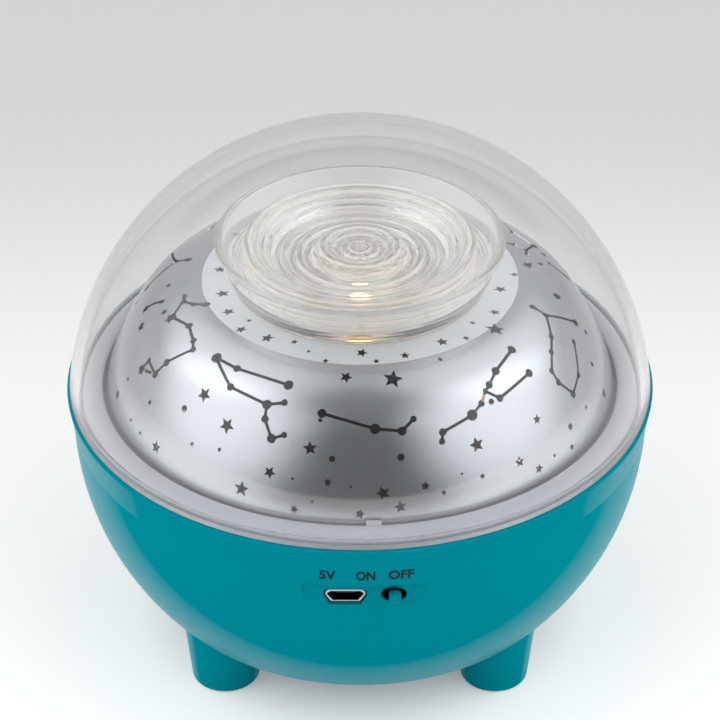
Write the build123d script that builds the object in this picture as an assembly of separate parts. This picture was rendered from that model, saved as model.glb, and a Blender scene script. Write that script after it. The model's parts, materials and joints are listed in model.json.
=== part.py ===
from build123d import *
from math import acos, asin, atan2, cos, degrees, pi, radians, sin, sqrt, tan
import os

# Star night light projector, in millimetres. +Z is up, and the origin is on the floor, under the
# middle of the four feet. The socket and the switch face -Y. Bodies of revolution are drawn as
# half sections, with the radius first and the height second.

# ---------------------------------------------------------------- driving dimensions
RIM_Z = 56.0            # top edge of the teal bowl
RIM_R = 60.0
BOWL_R = 58.9           # the ball that the bowl follows below its flared rim
BOWL_BALL_Z = 48.8
BOWL_WALL = 2.4
BOWL_FLAT_Z = 10.0      # underside between the feet
BOWL_EDGE_FILLET = 3.0

FOOT_XY = 27.8          # the feet stand on a square
FOOT_BOTTOM_R = 6.9
FOOT_TOP_R = 8.9
FOOT_TOP_Z = 20.0
FOOT_EDGE = 0.8
FOOT_WALL = 2.2

CLEAR_R = 60.5          # clear outer dome
CLEAR_BALL_Z = 48.0
CLEAR_WALL = 2.0
CLEAR_GAP = 0.25        # shadow line above the bowl's rim
TONGUE_R = 58.2         # the clear dome's tongue, which drops inside the rim
TONGUE_WALL = 1.3
TONGUE_Z = 52.6

DECK_Z = 50.0           # top of the deck plate
DECK_THICKNESS = 2.0
DECK_R = 56.0
DECK_RIM_Z = 54.5
DECK_RIM_WALL = 1.6
TRACK_R = 46.2          # raised track on which the turntable runs
TRACK_WALL = 1.2
TRACK_Z = 52.0
DECK_BOSS_PITCH_R = 50.3
DECK_BOSS_R = 3.1
DECK_BOSS_Z = 45.0      # the deck's bosses stand on the bowl's bosses here
DECK_SCREW_LENGTH = 9.0
RIB_ANGLES = (0, 45, 135, 180, 225, 315)
RIB_THICKNESS = 1.4
DECK_COLLAR_R = 11.5    # stiffening collar under the middle of the deck
DECK_COLLAR_WALL = 1.3
BOARD_POST_R = 2.4
PILLAR_BOSS_R = 2.2

RING_TOP_R = 52.5       # pale ring round the star dome
RING_LOW_R = 52.9
RING_OUTER_R = 56.7
RING_LIP_Z = 54.1
RING_TOP_Z = 57.5
TAB_WIDTH = 2.9         # the small tab on the ring's inner edge
TAB_X = 2.6

STAR_R = 53.9           # silver star dome
STAR_BALL_Z = 42.0
STAR_WALL = 1.2
STAR_BOTTOM_Z = 53.6
SHOULDER_START_R = 45.0  # here the dome leaves its ball for a tighter shoulder
SHOULDER_R = 17.5
LAND_R = 31.6           # edge of the flat land round the lens
LENS_HOLE_R = 22.9
SLIT_WIDTH = 0.6        # joining lines of the constellations
BRIDGE = 0.5            # metal left at each end of a slit that would close a loop

TURNTABLE_LIP_R = 53.6
TURNTABLE_PLATE = 1.5
TRACK_CLEARANCE = 0.1   # between the turntable's skirt and the track
SKIRT_WALL = 1.5
SKIRT_LIFT = 0.5        # the skirt's lower edge over the deck
SPIGOT_R = 50.6         # ring on the turntable that centres the star dome
SPIGOT_WALL = 1.4
SPIGOT_HEIGHT = 2.2
GEAR_BLANK_R = 40.0     # bore of the turntable before its teeth are cut
GEAR_TOP_Z = 54.0
GEAR_BOTTOM_Z = 50.7
GEAR_BODY_R = 44.7
MODULE = 1.0
RING_TEETH = 84
PINION_TEETH = 12
PRESSURE_ANGLE = radians(20)
TOOTH_ADDENDUM = 0.85
TOOTH_DEDENDUM = 1.25
BACKLASH = 0.28

CUP_FOOT_R = 24.8       # clear cup on the land
CUP_RIM_R = 28.8
CUP_RIM_Z = 89.2
CUP_WALL = 1.7
CUP_FLOOR_Z = 82.0
CUP_RIBS = 4
LENS_TOP_R = 22.6       # clear stepped lens in the cup
LENS_TOP_Z = 88.0
LENS_STEPS = 4
LENS_BULGE = 0.35       # swell of each ring up the side of the lens
CUP_BULGE = 0.35
SPIGOT_LENGTH = 3.4     # the cup's spigot, which goes down through the hole in the land
CUP_SPIGOT_WALL = 2.0
CUP_UNDERSIDE = 0.8     # the cup's floor starts this far above the land
LOCK_RING_WIDTH = 3.3
LOCK_RING_HEIGHT = 2.0
LOCK_RING_GAP = 0.1
LUG_PITCH = 4.0         # the lock ring's grip lugs, outside the lens hole
LUG_DEPTH = 3.0
LUG_WIDTH = 5.0
# Top of the lens, as (radius, depth below its top). Ripples swell up and down by turns.
LENS_RIDGE = ((21.2, 0.2), (18.1, 2.0), (17.0, 3.6))
LENS_RIPPLES = ((17.0, 3.6), (15.0, 3.2), (13.2, 3.6), (11.6, 3.0), (10.0, 3.4), (8.3, 1.3))
LENS_HUB = ((8.3, 1.3), (6.7, 1.2), (4.2, 2.2), (2.2, 1.9))
HUB_MIDDLE_DEPTH = 0.9

PORT_X = -2.8           # micro-USB socket
PORT_Z = 43.4
PORT_WIDTH = 7.75
PORT_HEIGHT = 2.8
PORT_DEPTH = 5.5
PORT_WALL = 0.3
PORT_GAP = 0.35
PORT_RECESS = 0.3       # the socket's mouth lies this far behind the pocket's flat
BLADE_WIDTH = 3.8       # the socket's tongue
BLADE_THICKNESS = 0.6
BLADE_RECESS = 1.2
BLADE_DROP = 0.45       # from the inside of the shell's top
BLADE_ROOT_WIDTH = 5.2
BLADE_ROOT_DEPTH = 1.1
BLADE_ROOT_HEIGHT = 1.7
POCKET_Y = -57.3        # flat on the bowl round the socket and the switch
POCKET_LEFT = -11.1
POCKET_RIGHT = 14.8
POCKET_TOP_Z = 47.0
POCKET_LOW_Z = 30.0
POCKET_DRAFT = 3.0      # degrees that the flat leans out towards its foot
FLAT_Y = -56.0          # flat on the inside of the wall, behind them
FLAT_LEFT = -8.2
FLAT_RIGHT = 13.6
FLAT_LOW_Z = 39.8
FLAT_TOP_Z = 47.2
INSIDE_Y = -50.0        # a plane clear inside the front wall

SLOT_X = 6.5            # slide switch
SLOT_Z = 44.1
SLOT_WIDTH = 4.9
SLOT_HEIGHT = 2.9
KNOB_X = 6.7            # the knob's place between its two stops
KNOB_WIDTH = 2.3
KNOB_HEIGHT = 2.1
KNOB_PROUD = 2.0
KNOB_CORNER_R = 0.9     # clears the slot's round ends at both stops
KNOB_PLATE_Y = -55.6    # front of the dust plate behind the slot
KNOB_PLATE_THICKNESS = 0.8
KNOB_PLATE_WIDTH = 8.0
KNOB_PLATE_HEIGHT = 4.2
LEVER_WIDTH = 1.6
LEVER_HEIGHT = 1.2
LEVER_TIP_Y = -55.0
SWITCH_WIDTH = 8.6
SWITCH_FRONT_Y = -53.2
SWITCH_BACK_Y = -49.6
SWITCH_HEIGHT = 4.2
SWITCH_END_WALL = 0.9
SWITCH_FRONT_WALL = 0.4
SWITCH_BACK_WALL = 0.8
SWITCH_TRACK_HEIGHT = 2.2
WINDOW_WIDTH = 4.8
WINDOW_HEIGHT = 1.8
LEVER_PLATE_WIDTH = 3.6
LEVER_PLATE_HEIGHT = 1.6
LEVER_PLATE_DEPTH = 1.7
LEVER_PLATE_GAP = 0.7   # behind the front of the case

BOARD_Z = 42.0          # top of the main board
BOARD_THICKNESS = 1.2
BOARD_LEFT = -12.0
BOARD_RIGHT = 13.2
BOARD_FRONT_Y = -53.6
BOARD_BACK_Y = -32.0
BOARD_POSTS = ((-9.0, -46.5), (10.0, -44.0))
CHIP_SIZE = 5.0
CHIP_THICKNESS = 1.2
CHIP_X = -1.5
CHIP_Y = -44.0
CAPACITOR_R = 2.2
CAPACITOR_HEIGHT = 4.4
CAPACITOR_X = 4.6
CAPACITOR_Y = -45.6
SOCKET_PITCH = 8.0      # three lead sockets on the board
SOCKET_WIDTH = 5.8
SOCKET_WALL = 0.7
SOCKET_FRONT_Y = -37.4
SOCKET_BACK_Y = -33.6
SOCKET_HEIGHT = 4.2

MOTOR_Y = MODULE * (RING_TEETH - PINION_TEETH) / 2
MOTOR_X_SIZE = 12.0
MOTOR_Y_SIZE = 10.0
MOTOR_CAN_LENGTH = 15.0
GEARBOX_LENGTH = 9.0
SHAFT_R = 1.5
SHAFT_FLAT = 0.5
SHAFT_TOP_Z = 54.4
MOTOR_EAR_X = 10.8
MOTOR_EAR_THICKNESS = 2.2
BRACKET_WALL = 1.3
BRACKET_GAP = 0.1
EAR_REACH = 3.0         # ear beyond the middle of its screw, and half its width
GEARBOX_PLATE = 1.6     # end plates, with a groove 1.2 mm deep between them
GEARBOX_GROOVE = 1.2
SHAFT_CLEARANCE = 0.05
SHAFT_BURIED = 3.0      # length of shaft inside the gearbox
CAP_R = 2.0             # bearing boss under the motor
CAP_HEIGHT = 0.8
CAP_HOLE_R = 2.6

PILLAR_R = 4.4
PILLAR_BORE_R = 2.9
PILLAR_FLANGE_R = 8.4
PILLAR_FLANGE_THICKNESS = 1.6
PILLAR_SCREW_PITCH_R = 6.2
PILLAR_TOP_Z = 64.4
PILLAR_SCREWS = 3
PILLAR_SCREW_START = 30
DISH_GAP = 0.2          # the dish round the board on top of the pillar
DISH_WALL = 1.2
FIN_HEIGHT = 9.0
FIN_THICKNESS = 1.2
LED_BOARD_R = 9.6
LED_BOARD_THICKNESS = 1.6
LED_BOARD_HOLE_R = 1.6
LED_R = 2.5
LED_COLLAR = 0.4
LED_COLLAR_HEIGHT = 1.0
LED_PITCH_R = 5.2
LED_HEIGHT = 8.6

CELL_R = 9.1            # rechargeable cell, lying across the bowl's floor
CELL_LENGTH = 65.0
CELL_Z = 23.4
CELL_EDGE = 0.8
BUTTON_R = 3.0          # raised button at the cell's positive end
BUTTON_HEIGHT = 1.0
CELL_END_GAP = 0.4
CRADLE_ABOVE = 3.0      # the trough's walls rise this far past the cell's middle
CRADLE_WALL = 1.5
CRADLE_EAR_Y = 14.5
CRADLE_EAR_THICKNESS = 1.6
CRADLE_BOSS_R = 2.6
CRADLE_BOSS_Z = 16.0

SCREW_R = 1.0
SCREW_HEAD_R = 1.9
SCREW_HEAD_HEIGHT = 1.3
SCREW_CLEARANCE = 0.15
LEAD_R = 0.6
LEAD_OFFSETS = (-0.8, 0.8)  # the two leads of a pair, to either side of their route
LEAD_Z = 43.7
LEAD_END_Y = -36.2      # where the leads end in their sockets
BATTERY_LEAD_X = -26.0  # the battery's leads leave the cell here
BATTERY_LEAD_Y = -1.0
BATTERY_LEAD_TOP_Z = 41.5
MOTOR_LEAD_X = 2.0      # the motor's leads leave its foot here
MOTOR_LEAD_Z = 26.5

# Stars and constellations on the silver dome, as (degrees to the right of the front, degrees of
# elevation from the middle of the dome's ball, radius in millimetres). The set goes on twice, the
# second time turned by a little over half a turn.
BACK_TURN = 185
LOW_STARS = (
    (-72.5, 20.8, 1.3), (-51, 20, 1.4), (-26.3, 20, 1.6), (-20.4, 24.8, 1.3), (-14, 18.2, 0.95),
    (0, 18.2, 1.1), (5, 22.4, 1.5), (8.6, 19.3, 1.3), (14.3, 23, 1.0), (37.6, 22.3, 1.2),
    (42.3, 19, 1.1), (73.5, 20.5, 1.3),
)
MIDDLE_STARS = (
    (-84.5, 37, 1.3), (-79, 35, 1.4), (-76.5, 41.3, 0.95), (-72, 42, 1.5), (-66.8, 30.5, 1.4),
    (-65.8, 33.2, 0.9), (-60.8, 32.4, 1.2), (-42.5, 35.3, 1.6), (-33.3, 31.5, 1.7), (-11.7, 31, 1.45),
    (-10, 36.8, 0.6), (27.9, 28.9, 1.6), (45.7, 28.6, 1.1), (60.3, 27.9, 1.2), (73, 46, 1.0),
    (79, 36.2, 1.1),
)
HIGH_STARS = (
    (-76.5, 53.3, 1.3), (-63, 52.4, 1.2), (-53, 54.2, 0.6), (-49.8, 51.2, 1.1), (-38.5, 52.6, 1.3),
    (-28, 54.3, 0.75), (-20, 52.5, 0.5), (-12.2, 50.4, 0.7), (-4.3, 46.5, 1.3), (0.7, 53.7, 1.2),
    (5.8, 50.8, 0.7), (10, 45.7, 2.0), (16.8, 51.6, 1.0), (27.4, 48.3, 0.65), (33.6, 52.7, 1.2),
    (42.3, 51, 0.75), (52, 53.5, 0.6), (53.7, 49, 1.75), (63.2, 51.8, 1.0), (80, 53, 1.2),
)
STARS = LOW_STARS + MIDDLE_STARS + HIGH_STARS
# Stars at the sides, where the set meets its turned copy. These go on once.
SIDE_STARS = ((-89, 43, 0.8), (84.5, 41.7, 1.3), (91, 50.5, 0.8), (98, 47.3, 1.4), (100.5, 44.2, 0.95))
DOTS = (
    (-70.5, 26, 0.4), (-62.5, 20.5, 0.35), (-58, 27, 0.45), (-57.5, 20, 0.35), (-46.5, 30.7, 0.7),
    (-41, 25, 0.4), (-33.5, 26.3, 0.4), (-15, 24.4, 0.25), (-10.3, 20.3, 0.3), (-7.1, 24.5, 0.6),
    (-6.4, 29.3, 0.6), (-2, 23.8, 0.25), (9.4, 29.4, 0.7), (18.3, 21, 0.45), (23, 24, 0.25),
    (27.7, 22.3, 0.45), (35, 36.1, 0.6), (47.5, 19.7, 0.35), (53.5, 18.8, 0.5), (55, 22.8, 0.65),
    (63, 23.3, 0.4), (74, 27.8, 0.5), (80.5, 32.5, 0.5),
)
# Each constellation is its dots, the pairs of dots that a slit joins, and the pairs whose slit stops
# short at both ends, so that a closed loop doesn't fall out of the dome.
KITE = (
    ((-46, 43, 1.1), (-37.8, 43, 0.8), (-20.7, 43, 1.0), (-36.4, 39, 0.8), (-24.6, 38, 1.0),
     (-20.2, 39.2, 0.7), (-24, 35.1, 0.8), (-21.3, 31.6, 0.95), (-18.4, 32.8, 0.65)),
    ((0, 1), (1, 2), (0, 3), (3, 4), (4, 5), (4, 6), (6, 7), (7, 8)),
    (),
)
RIVER = (
    ((-71, 49.5, 0.8), (-73, 47.5, 0.7), (-76.5, 45.7, 0.7), (-72, 42.5, 0.9), (-64, 44.4, 0.8),
     (-57.3, 43, 0.7), (-54.7, 41.6, 0.7), (-59.3, 36, 0.85), (-60.8, 32.4, 0.8), (-65.8, 33.2, 0.5),
     (-66.8, 30.5, 0.9), (-79.5, 46.3, 0.6)),
    ((0, 1), (1, 2), (2, 3), (3, 4), (4, 5), (5, 6), (6, 7), (7, 8), (8, 9), (9, 10), (2, 11)),
    ((10, 8),),
)
SICKLE = (
    ((-84.5, 37, 0.7), (-83.8, 39.4, 0.45), (-82, 41.4, 0.6)),
    ((0, 1), (1, 2)),
    (),
)
LADLE = (
    ((-9.8, 38.2, 0.9), (3.7, 35.4, 1.05), (10.3, 34.6, 0.9), (13.5, 36.7, 0.65)),
    ((0, 1), (1, 2), (2, 3)),
    (),
)
HERON = (
    ((50.5, 43.5, 0.9), (40.8, 41.4, 0.9), (36.6, 39.4, 0.8), (37.7, 36.1, 0.8), (49.8, 37.6, 0.9),
     (34.7, 38.5, 0.6), (32.2, 36.5, 0.7), (28.7, 34.9, 1.15), (20.2, 33.1, 0.8), (19.6, 31.3, 0.65)),
    ((0, 1), (1, 2), (2, 5), (5, 3), (3, 4), (5, 6), (6, 7), (7, 8), (8, 9)),
    (),
)
GATE = (
    ((73, 46, 0.7), (72.3, 43, 0.7), (79, 36.2, 0.8), (65.7, 39.8, 0.7), (61.2, 37.8, 0.7),
     (57, 35, 0.7), (57.2, 32.2, 0.75), (60.3, 27.9, 0.8), (65.7, 29.8, 0.7), (71.7, 34.9, 0.7)),
    ((0, 1), (1, 2), (1, 3), (3, 4), (4, 5), (5, 6), (6, 7), (7, 8), (8, 9)),
    (),
)
CONSTELLATIONS = (KITE, RIVER, SICKLE, LADLE, HERON, GATE)


# ---------------------------------------------------------------- helpers
def turned(*edges):
    """A solid of revolution about the upright axis, from the edges of a half section."""
    return revolve(Plane.XZ * make_face(edges), Axis.Z)


def turned_points(*points):
    """The same from a straight-sided half section."""
    return revolve(Plane.XZ * make_face(Polyline(*points, close=True)), Axis.Z)


def upright(radius, low, high, x=0.0, y=0.0):
    """An upright cylinder between two heights."""
    return Pos(x, y, low) * Cylinder(radius, high - low, align=(Align.CENTER, Align.CENTER, Align.MIN))


def tube(outer, inner, low, high, x=0.0, y=0.0):
    """An upright tube between two heights."""
    return upright(outer, low, high, x, y) - upright(inner, low, high, x, y)


def block(x_low, x_high, y_low, y_high, z_low, z_high):
    """A box between its lowest and highest corners."""
    middle = Pos((x_low + x_high) / 2, (y_low + y_high) / 2, (z_low + z_high) / 2)
    return middle * Box(x_high - x_low, y_high - y_low, z_high - z_low)


def at_turns(count, radius, start=0.0):
    """Evenly spaced points round the upright axis, as (x, y)."""
    angles = [radians(start + 360 / count * i) for i in range(count)]
    return [(radius * cos(a), radius * sin(a)) for a in angles]


def screw(x, y, head_z, length, up=False):
    """A pan-head screw with a cross recess. Its head seats at head_z, and it points down or up."""
    body = Cylinder(SCREW_R, length, align=(Align.CENTER, Align.CENTER, Align.MAX))
    head = Cylinder(SCREW_HEAD_R, SCREW_HEAD_HEIGHT, align=(Align.CENTER, Align.CENTER, Align.MIN))
    recess = Pos(0, 0, SCREW_HEAD_HEIGHT) * (Box(2.2, 0.5, 1.2) + Box(0.5, 2.2, 1.2))
    one = body + head - recess
    if up:
        one = Rot(180, 0, 0) * one
    return Pos(x, y, head_z) * one


def lead(points, bends):
    """One insulated lead along straight runs joined by arcs."""
    path = FilletPolyline(*points, radius=bends)
    section = Plane(path @ 0, z_dir=path % 0) * Circle(LEAD_R)
    return sweep(section, path=path)


def save(name, *solids):
    """Write one sub-part, which may be several like solids."""
    shape = solids[0] if len(solids) == 1 else Compound(children=list(solids))
    export_step(shape, "parts/" + name + ".step")


# ---------------------------------------------------------------- base bowl
def bowl_form(inset, flat_z):
    """The bowl's outer form, drawn in by inset and closed off flat at flat_z."""
    ball = BOWL_R - inset
    sweep_angle = degrees(asin((BOWL_BALL_Z - flat_z) / ball))
    flat_r = ball * cos(radians(sweep_angle))
    return turned(
        Line((0, flat_z), (flat_r, flat_z)),
        CenterArc((0, BOWL_BALL_Z), ball, -sweep_angle, sweep_angle),
        Line((ball, BOWL_BALL_Z), (RIM_R - inset, RIM_Z)),
        Line((RIM_R - inset, RIM_Z), (0, RIM_Z)),
        Line((0, RIM_Z), (0, flat_z)),
    )


def lowest_circles(solid, count=1):
    """The lowest round edges of a solid."""
    return solid.edges().filter_by(GeomType.CIRCLE).sort_by(Axis.Z)[:count]


def foot_form(inset, low):
    """One tapered foot on the upright axis, drawn in by inset, from the height low."""
    taper = (FOOT_TOP_R - FOOT_BOTTOM_R) / FOOT_TOP_Z
    bottom_r = FOOT_BOTTOM_R + taper * low - inset
    return Pos(0, 0, low) * Cone(
        bottom_r, FOOT_TOP_R - inset, FOOT_TOP_Z - low, align=(Align.CENTER, Align.CENTER, Align.MIN)
    )


def port_face(grow):
    """The socket's outline: widest near its top, with slanting lower corners."""
    half = PORT_WIDTH / 2 + grow
    top = PORT_HEIGHT / 2 + grow
    outline = Polyline(
        (-half + 0.7, top), (half - 0.7, top), (half - 0.15, top - 0.4), (half, 0.4),
        (half - 1.15, -top), (-half + 1.15, -top), (-half, 0.4), (-half + 0.15, top - 0.4), close=True,
    )
    return make_face(outline)


def facing_front(face, x, z, y_low, y_high):
    """Push a flat face from y_high forwards to y_low, at x and z on the front of the bowl."""
    plane = Plane(origin=(x, y_high, z), x_dir=(1, 0, 0), z_dir=(0, -1, 0))
    return extrude(plane * face, amount=y_high - y_low)


def make_base_bowl():
    outer = bowl_form(0, BOWL_FLAT_Z)
    outer = fillet(lowest_circles(outer), BOWL_EDGE_FILLET)
    inner = bowl_form(BOWL_WALL, BOWL_FLAT_Z + BOWL_WALL)
    inner = fillet(lowest_circles(inner), BOWL_EDGE_FILLET - 1)
    solid_foot = foot_form(0, 0)
    solid_foot = fillet(lowest_circles(solid_foot), FOOT_EDGE)
    bowl = outer
    for x in (-FOOT_XY, FOOT_XY):
        for y in (-FOOT_XY, FOOT_XY):
            bowl += Pos(x, y, 0) * solid_foot
            inner += Pos(x, y, 0) * foot_form(FOOT_WALL, FOOT_WALL)
    bowl -= inner
    bosses = []
    for x, y in at_turns(4, DECK_BOSS_PITCH_R, 45):
        bosses.append(upright(DECK_BOSS_R, BOWL_FLAT_Z, DECK_BOSS_Z, x, y))
    for y in (-CRADLE_EAR_Y, CRADLE_EAR_Y):
        bosses.append(upright(CRADLE_BOSS_R, BOWL_FLAT_Z + 1, CRADLE_BOSS_Z, 0, y))
    for boss in bosses:
        bowl += boss & outer
    for x, y in at_turns(4, DECK_BOSS_PITCH_R, 45):
        bowl -= upright(SCREW_R, DECK_BOSS_Z - DECK_SCREW_LENGTH, DECK_BOSS_Z, x, y)
    for y in (-CRADLE_EAR_Y, CRADLE_EAR_Y):
        bowl -= upright(SCREW_R, BOWL_FLAT_Z + 1.6, CRADLE_BOSS_Z, 0, y)
    rebate = upright(TONGUE_R + 0.15, TONGUE_Z, RIM_Z + 1)
    pocket = block(POCKET_LEFT, POCKET_RIGHT, -12, 0, POCKET_LOW_Z - POCKET_TOP_Z, 0)
    pocket = Pos(0, POCKET_Y, POCKET_TOP_Z) * Rot(-POCKET_DRAFT, 0, 0) * pocket
    flat = block(FLAT_LEFT, FLAT_RIGHT, FLAT_Y, INSIDE_Y, FLAT_LOW_Z, FLAT_TOP_Z)
    port_hole = facing_front(port_face(PORT_GAP), PORT_X, PORT_Z, -RIM_R, INSIDE_Y)
    switch_slot = facing_front(SlotOverall(SLOT_WIDTH, SLOT_HEIGHT), SLOT_X, SLOT_Z, -RIM_R, INSIDE_Y)
    bowl = bowl - rebate - pocket - flat - port_hole - switch_slot
    rim_edges = bowl.edges().filter_by(GeomType.CIRCLE).filter_by(lambda e: abs(e.radius - RIM_R) < 0.01)
    return fillet(rim_edges, 0.4)


# ---------------------------------------------------------------- clear dome and rim ring
def ball_arc(radius, ball_z, low_z, high_r=0.0):
    """Arc of a ball's half section from the height low_z up to the radius high_r."""
    start = degrees(asin((low_z - ball_z) / radius))
    end = degrees(acos(high_r / radius))
    return CenterArc((0, ball_z), radius, start, end - start)


def make_clear_dome():
    shoulder_z = RIM_Z + CLEAR_GAP
    outer = ball_arc(CLEAR_R, CLEAR_BALL_Z, shoulder_z)
    inner_low_z = RIM_Z + 1.6
    inner = ball_arc(CLEAR_R - CLEAR_WALL, CLEAR_BALL_Z, inner_low_z)
    tongue_in = TONGUE_R - TONGUE_WALL
    outline = [
        Line((tongue_in, TONGUE_Z), (TONGUE_R, TONGUE_Z)),
        Line((TONGUE_R, TONGUE_Z), (TONGUE_R, shoulder_z)),
        Line((TONGUE_R, shoulder_z), outer @ 0),
        outer,
        Line(outer @ 1, inner @ 1),
        inner,
        Line(inner @ 0, (tongue_in, inner_low_z - 0.8)),
        Line((tongue_in, inner_low_z - 0.8), (tongue_in, TONGUE_Z)),
    ]
    return turned(*outline)


def make_rim_ring():
    """The pale ring: its lip holds the turntable down, and its top is gently rounded."""
    inner_edge = (RING_TOP_R, RING_TOP_Z - 0.5)
    outer_edge = (RING_OUTER_R, RING_TOP_Z - 1.0)
    crown = ((RING_TOP_R + RING_OUTER_R) / 2, RING_TOP_Z + 0.15)
    seat_r = DECK_R - DECK_RIM_WALL
    ring = turned(
        Line((RING_LOW_R, RING_LIP_Z), inner_edge),
        Line(inner_edge, (RING_TOP_R + 0.4, RING_TOP_Z - 0.1)),
        ThreePointArc((RING_TOP_R + 0.4, RING_TOP_Z - 0.1), crown, outer_edge),
        Line(outer_edge, (RING_OUTER_R, DECK_RIM_Z)),
        Line((RING_OUTER_R, DECK_RIM_Z), (seat_r, DECK_RIM_Z)),
        Line((seat_r, DECK_RIM_Z), (seat_r, RING_LIP_Z)),
        Line((seat_r, RING_LIP_Z), (RING_LOW_R, RING_LIP_Z)),
    )
    tab_front_y = -RING_TOP_R - 1.0
    tab = block(
        TAB_X - TAB_WIDTH / 2, TAB_X + TAB_WIDTH / 2, tab_front_y, -RING_TOP_R + 0.45,
        RING_TOP_Z - 0.7, RING_TOP_Z + 0.5,
    )
    return ring + tab


# ---------------------------------------------------------------- star dome
def shoulder_centre():
    """Middle of the shoulder's arc, which leaves the ball without a corner."""
    ratio = 1 - SHOULDER_R / STAR_R
    ball_rise = sqrt(STAR_R**2 - SHOULDER_START_R**2)
    return SHOULDER_START_R * ratio, STAR_BALL_Z + ball_rise * ratio


def land_height():
    """Height of the flat land round the lens."""
    centre_r, centre_z = shoulder_centre()
    return centre_z + sqrt(SHOULDER_R**2 - (LAND_R - centre_r) ** 2)


def dome_section(inset):
    """Ball, shoulder and land of the star dome, drawn in by inset."""
    centre_r, centre_z = shoulder_centre()
    ball = STAR_R - inset
    leave = degrees(acos(SHOULDER_START_R / STAR_R))
    low = degrees(asin((STAR_BOTTOM_Z - STAR_BALL_Z) / ball))
    small = SHOULDER_R - inset
    land_z = land_height() - inset
    top = degrees(asin((land_z - centre_z) / small))
    side = CenterArc((0, STAR_BALL_Z), ball, low, leave - low)
    shoulder = CenterArc((centre_r, centre_z), small, leave, top - leave)
    land = Line(shoulder @ 1, (LENS_HOLE_R + 0.1, land_z))
    return side, shoulder, land


def aim(azimuth, elevation):
    """Unit vector from the middle of the ball, azimuth to the right of the front."""
    a = radians(azimuth)
    e = radians(elevation)
    return Vector(sin(a) * cos(e), -cos(a) * cos(e), sin(e))


def outward_plane(direction, along=None):
    """A plane 40 mm out from the middle of the ball, facing outwards. Its Y is up the dome, or
    its X lies along the given direction."""
    x_dir = along if along is not None else Vector(0, 0, 1).cross(direction)
    origin = Vector(0, 0, STAR_BALL_Z) + direction * 40
    return Plane(origin=origin, x_dir=x_dir, z_dir=direction)


def star_face(radius):
    """A five-pointed star with one point up."""
    points = []
    for i in range(10):
        reach = radius if i % 2 == 0 else radius * 0.45
        angle = radians(90 + 36 * i)
        points.append((reach * cos(angle), reach * sin(angle)))
    return make_face(Polyline(*points, close=True))


def hole(face, direction, along=None):
    """A straight hole through the dome's wall, along the light that leaves the middle."""
    return extrude(outward_plane(direction, along) * face, amount=20)


def slit(first, second, short=0.0):
    """The thin slit between two dots of a constellation, short of both by a given length."""
    a = aim(first[0], first[1])
    b = aim(second[0], second[1])
    length = (b - a).length * STAR_R
    start = 0.0
    if short:
        start = (first[2] - second[2]) / 2
        length -= first[2] + second[2] + 2 * short
    along = (b - a).normalized()
    middle = ((a + b) / 2 + along * (start / STAR_R)).normalized()
    return hole(Rectangle(length, SLIT_WIDTH), middle, along)


def star_holes(stars, turn):
    """Star-shaped holes, each of which leans a little to one side or the other."""
    holes = []
    for azimuth, elevation, radius in stars:
        lean = 24 * sin(azimuth + elevation)
        holes.append(hole(Rot(0, 0, lean) * star_face(radius), aim(azimuth + turn, elevation)))
    return holes


def pattern_holes(turn):
    """The set of stars, dots and constellations once, turned about the upright axis."""
    holes = star_holes(STARS, turn)
    for azimuth, elevation, radius in DOTS:
        holes.append(hole(Circle(radius), aim(azimuth + turn, elevation)))
    for dots, joins, bridged_joins in CONSTELLATIONS:
        places = [(azimuth + turn, elevation, radius) for azimuth, elevation, radius in dots]
        for azimuth, elevation, radius in places:
            holes.append(hole(RegularPolygon(radius, 8), aim(azimuth, elevation)))
        for first, second in joins:
            holes.append(slit(places[first], places[second]))
        for first, second in bridged_joins:
            holes.append(slit(places[first], places[second], BRIDGE))
    return holes


def make_star_dome():
    outer = dome_section(0)
    inner = dome_section(STAR_WALL)
    shell = turned(
        *outer, *inner,
        Line(inner[0] @ 0, outer[0] @ 0),
        Line(outer[2] @ 1, inner[2] @ 1),
    )
    for turn in (0, BACK_TURN):
        shell -= pattern_holes(turn)
    return shell - star_holes(SIDE_STARS, 0)


# ---------------------------------------------------------------- lens
def make_lens_cup():
    """The clear cup: ribbed outside near its foot, flared, with a round rim and a flat floor."""
    land_z = land_height()
    rib_height = (CUP_FLOOR_Z + 1.6 - land_z) / CUP_RIBS
    flare = (CUP_RIM_R - CUP_FOOT_R) / (CUP_RIM_Z - land_z)
    edges = []
    r, z = CUP_FOOT_R, land_z
    for i in range(CUP_RIBS):
        next_r = r + flare * rib_height
        bulge = ((r + next_r) / 2 + CUP_BULGE, z + rib_height / 2)
        edges.append(ThreePointArc((r, z), bulge, (next_r, z + rib_height)))
        r, z = next_r, z + rib_height
    rim_inner_r = CUP_RIM_R - CUP_WALL
    rim_low_z = CUP_RIM_Z - CUP_WALL / 2
    edges.append(Line((r, z), (CUP_RIM_R, rim_low_z)))
    edges.append(ThreePointArc(
        (CUP_RIM_R, rim_low_z), (CUP_RIM_R - CUP_WALL / 2, CUP_RIM_Z), (rim_inner_r, rim_low_z)
    ))
    floor_r = CUP_FOOT_R - CUP_WALL + 1.0
    underside_z = land_z + CUP_UNDERSIDE
    spigot_z = land_z - SPIGOT_LENGTH
    spigot_in = LENS_HOLE_R - CUP_SPIGOT_WALL
    edges += Polyline(
        (rim_inner_r, rim_low_z), (floor_r, CUP_FLOOR_Z), (0, CUP_FLOOR_Z), (0, underside_z),
        (spigot_in, underside_z), (spigot_in, spigot_z), (LENS_HOLE_R, spigot_z),
        (LENS_HOLE_R, land_z), (CUP_FOOT_R, land_z),
    ).edges()
    return turned(*edges)


def wave(start, end, lift):
    """One ripple of the lens: an arc between two points, raised or lowered in its middle."""
    return ThreePointArc(start, ((start[0] + end[0]) / 2, (start[1] + end[1]) / 2 + lift), end)


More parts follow.
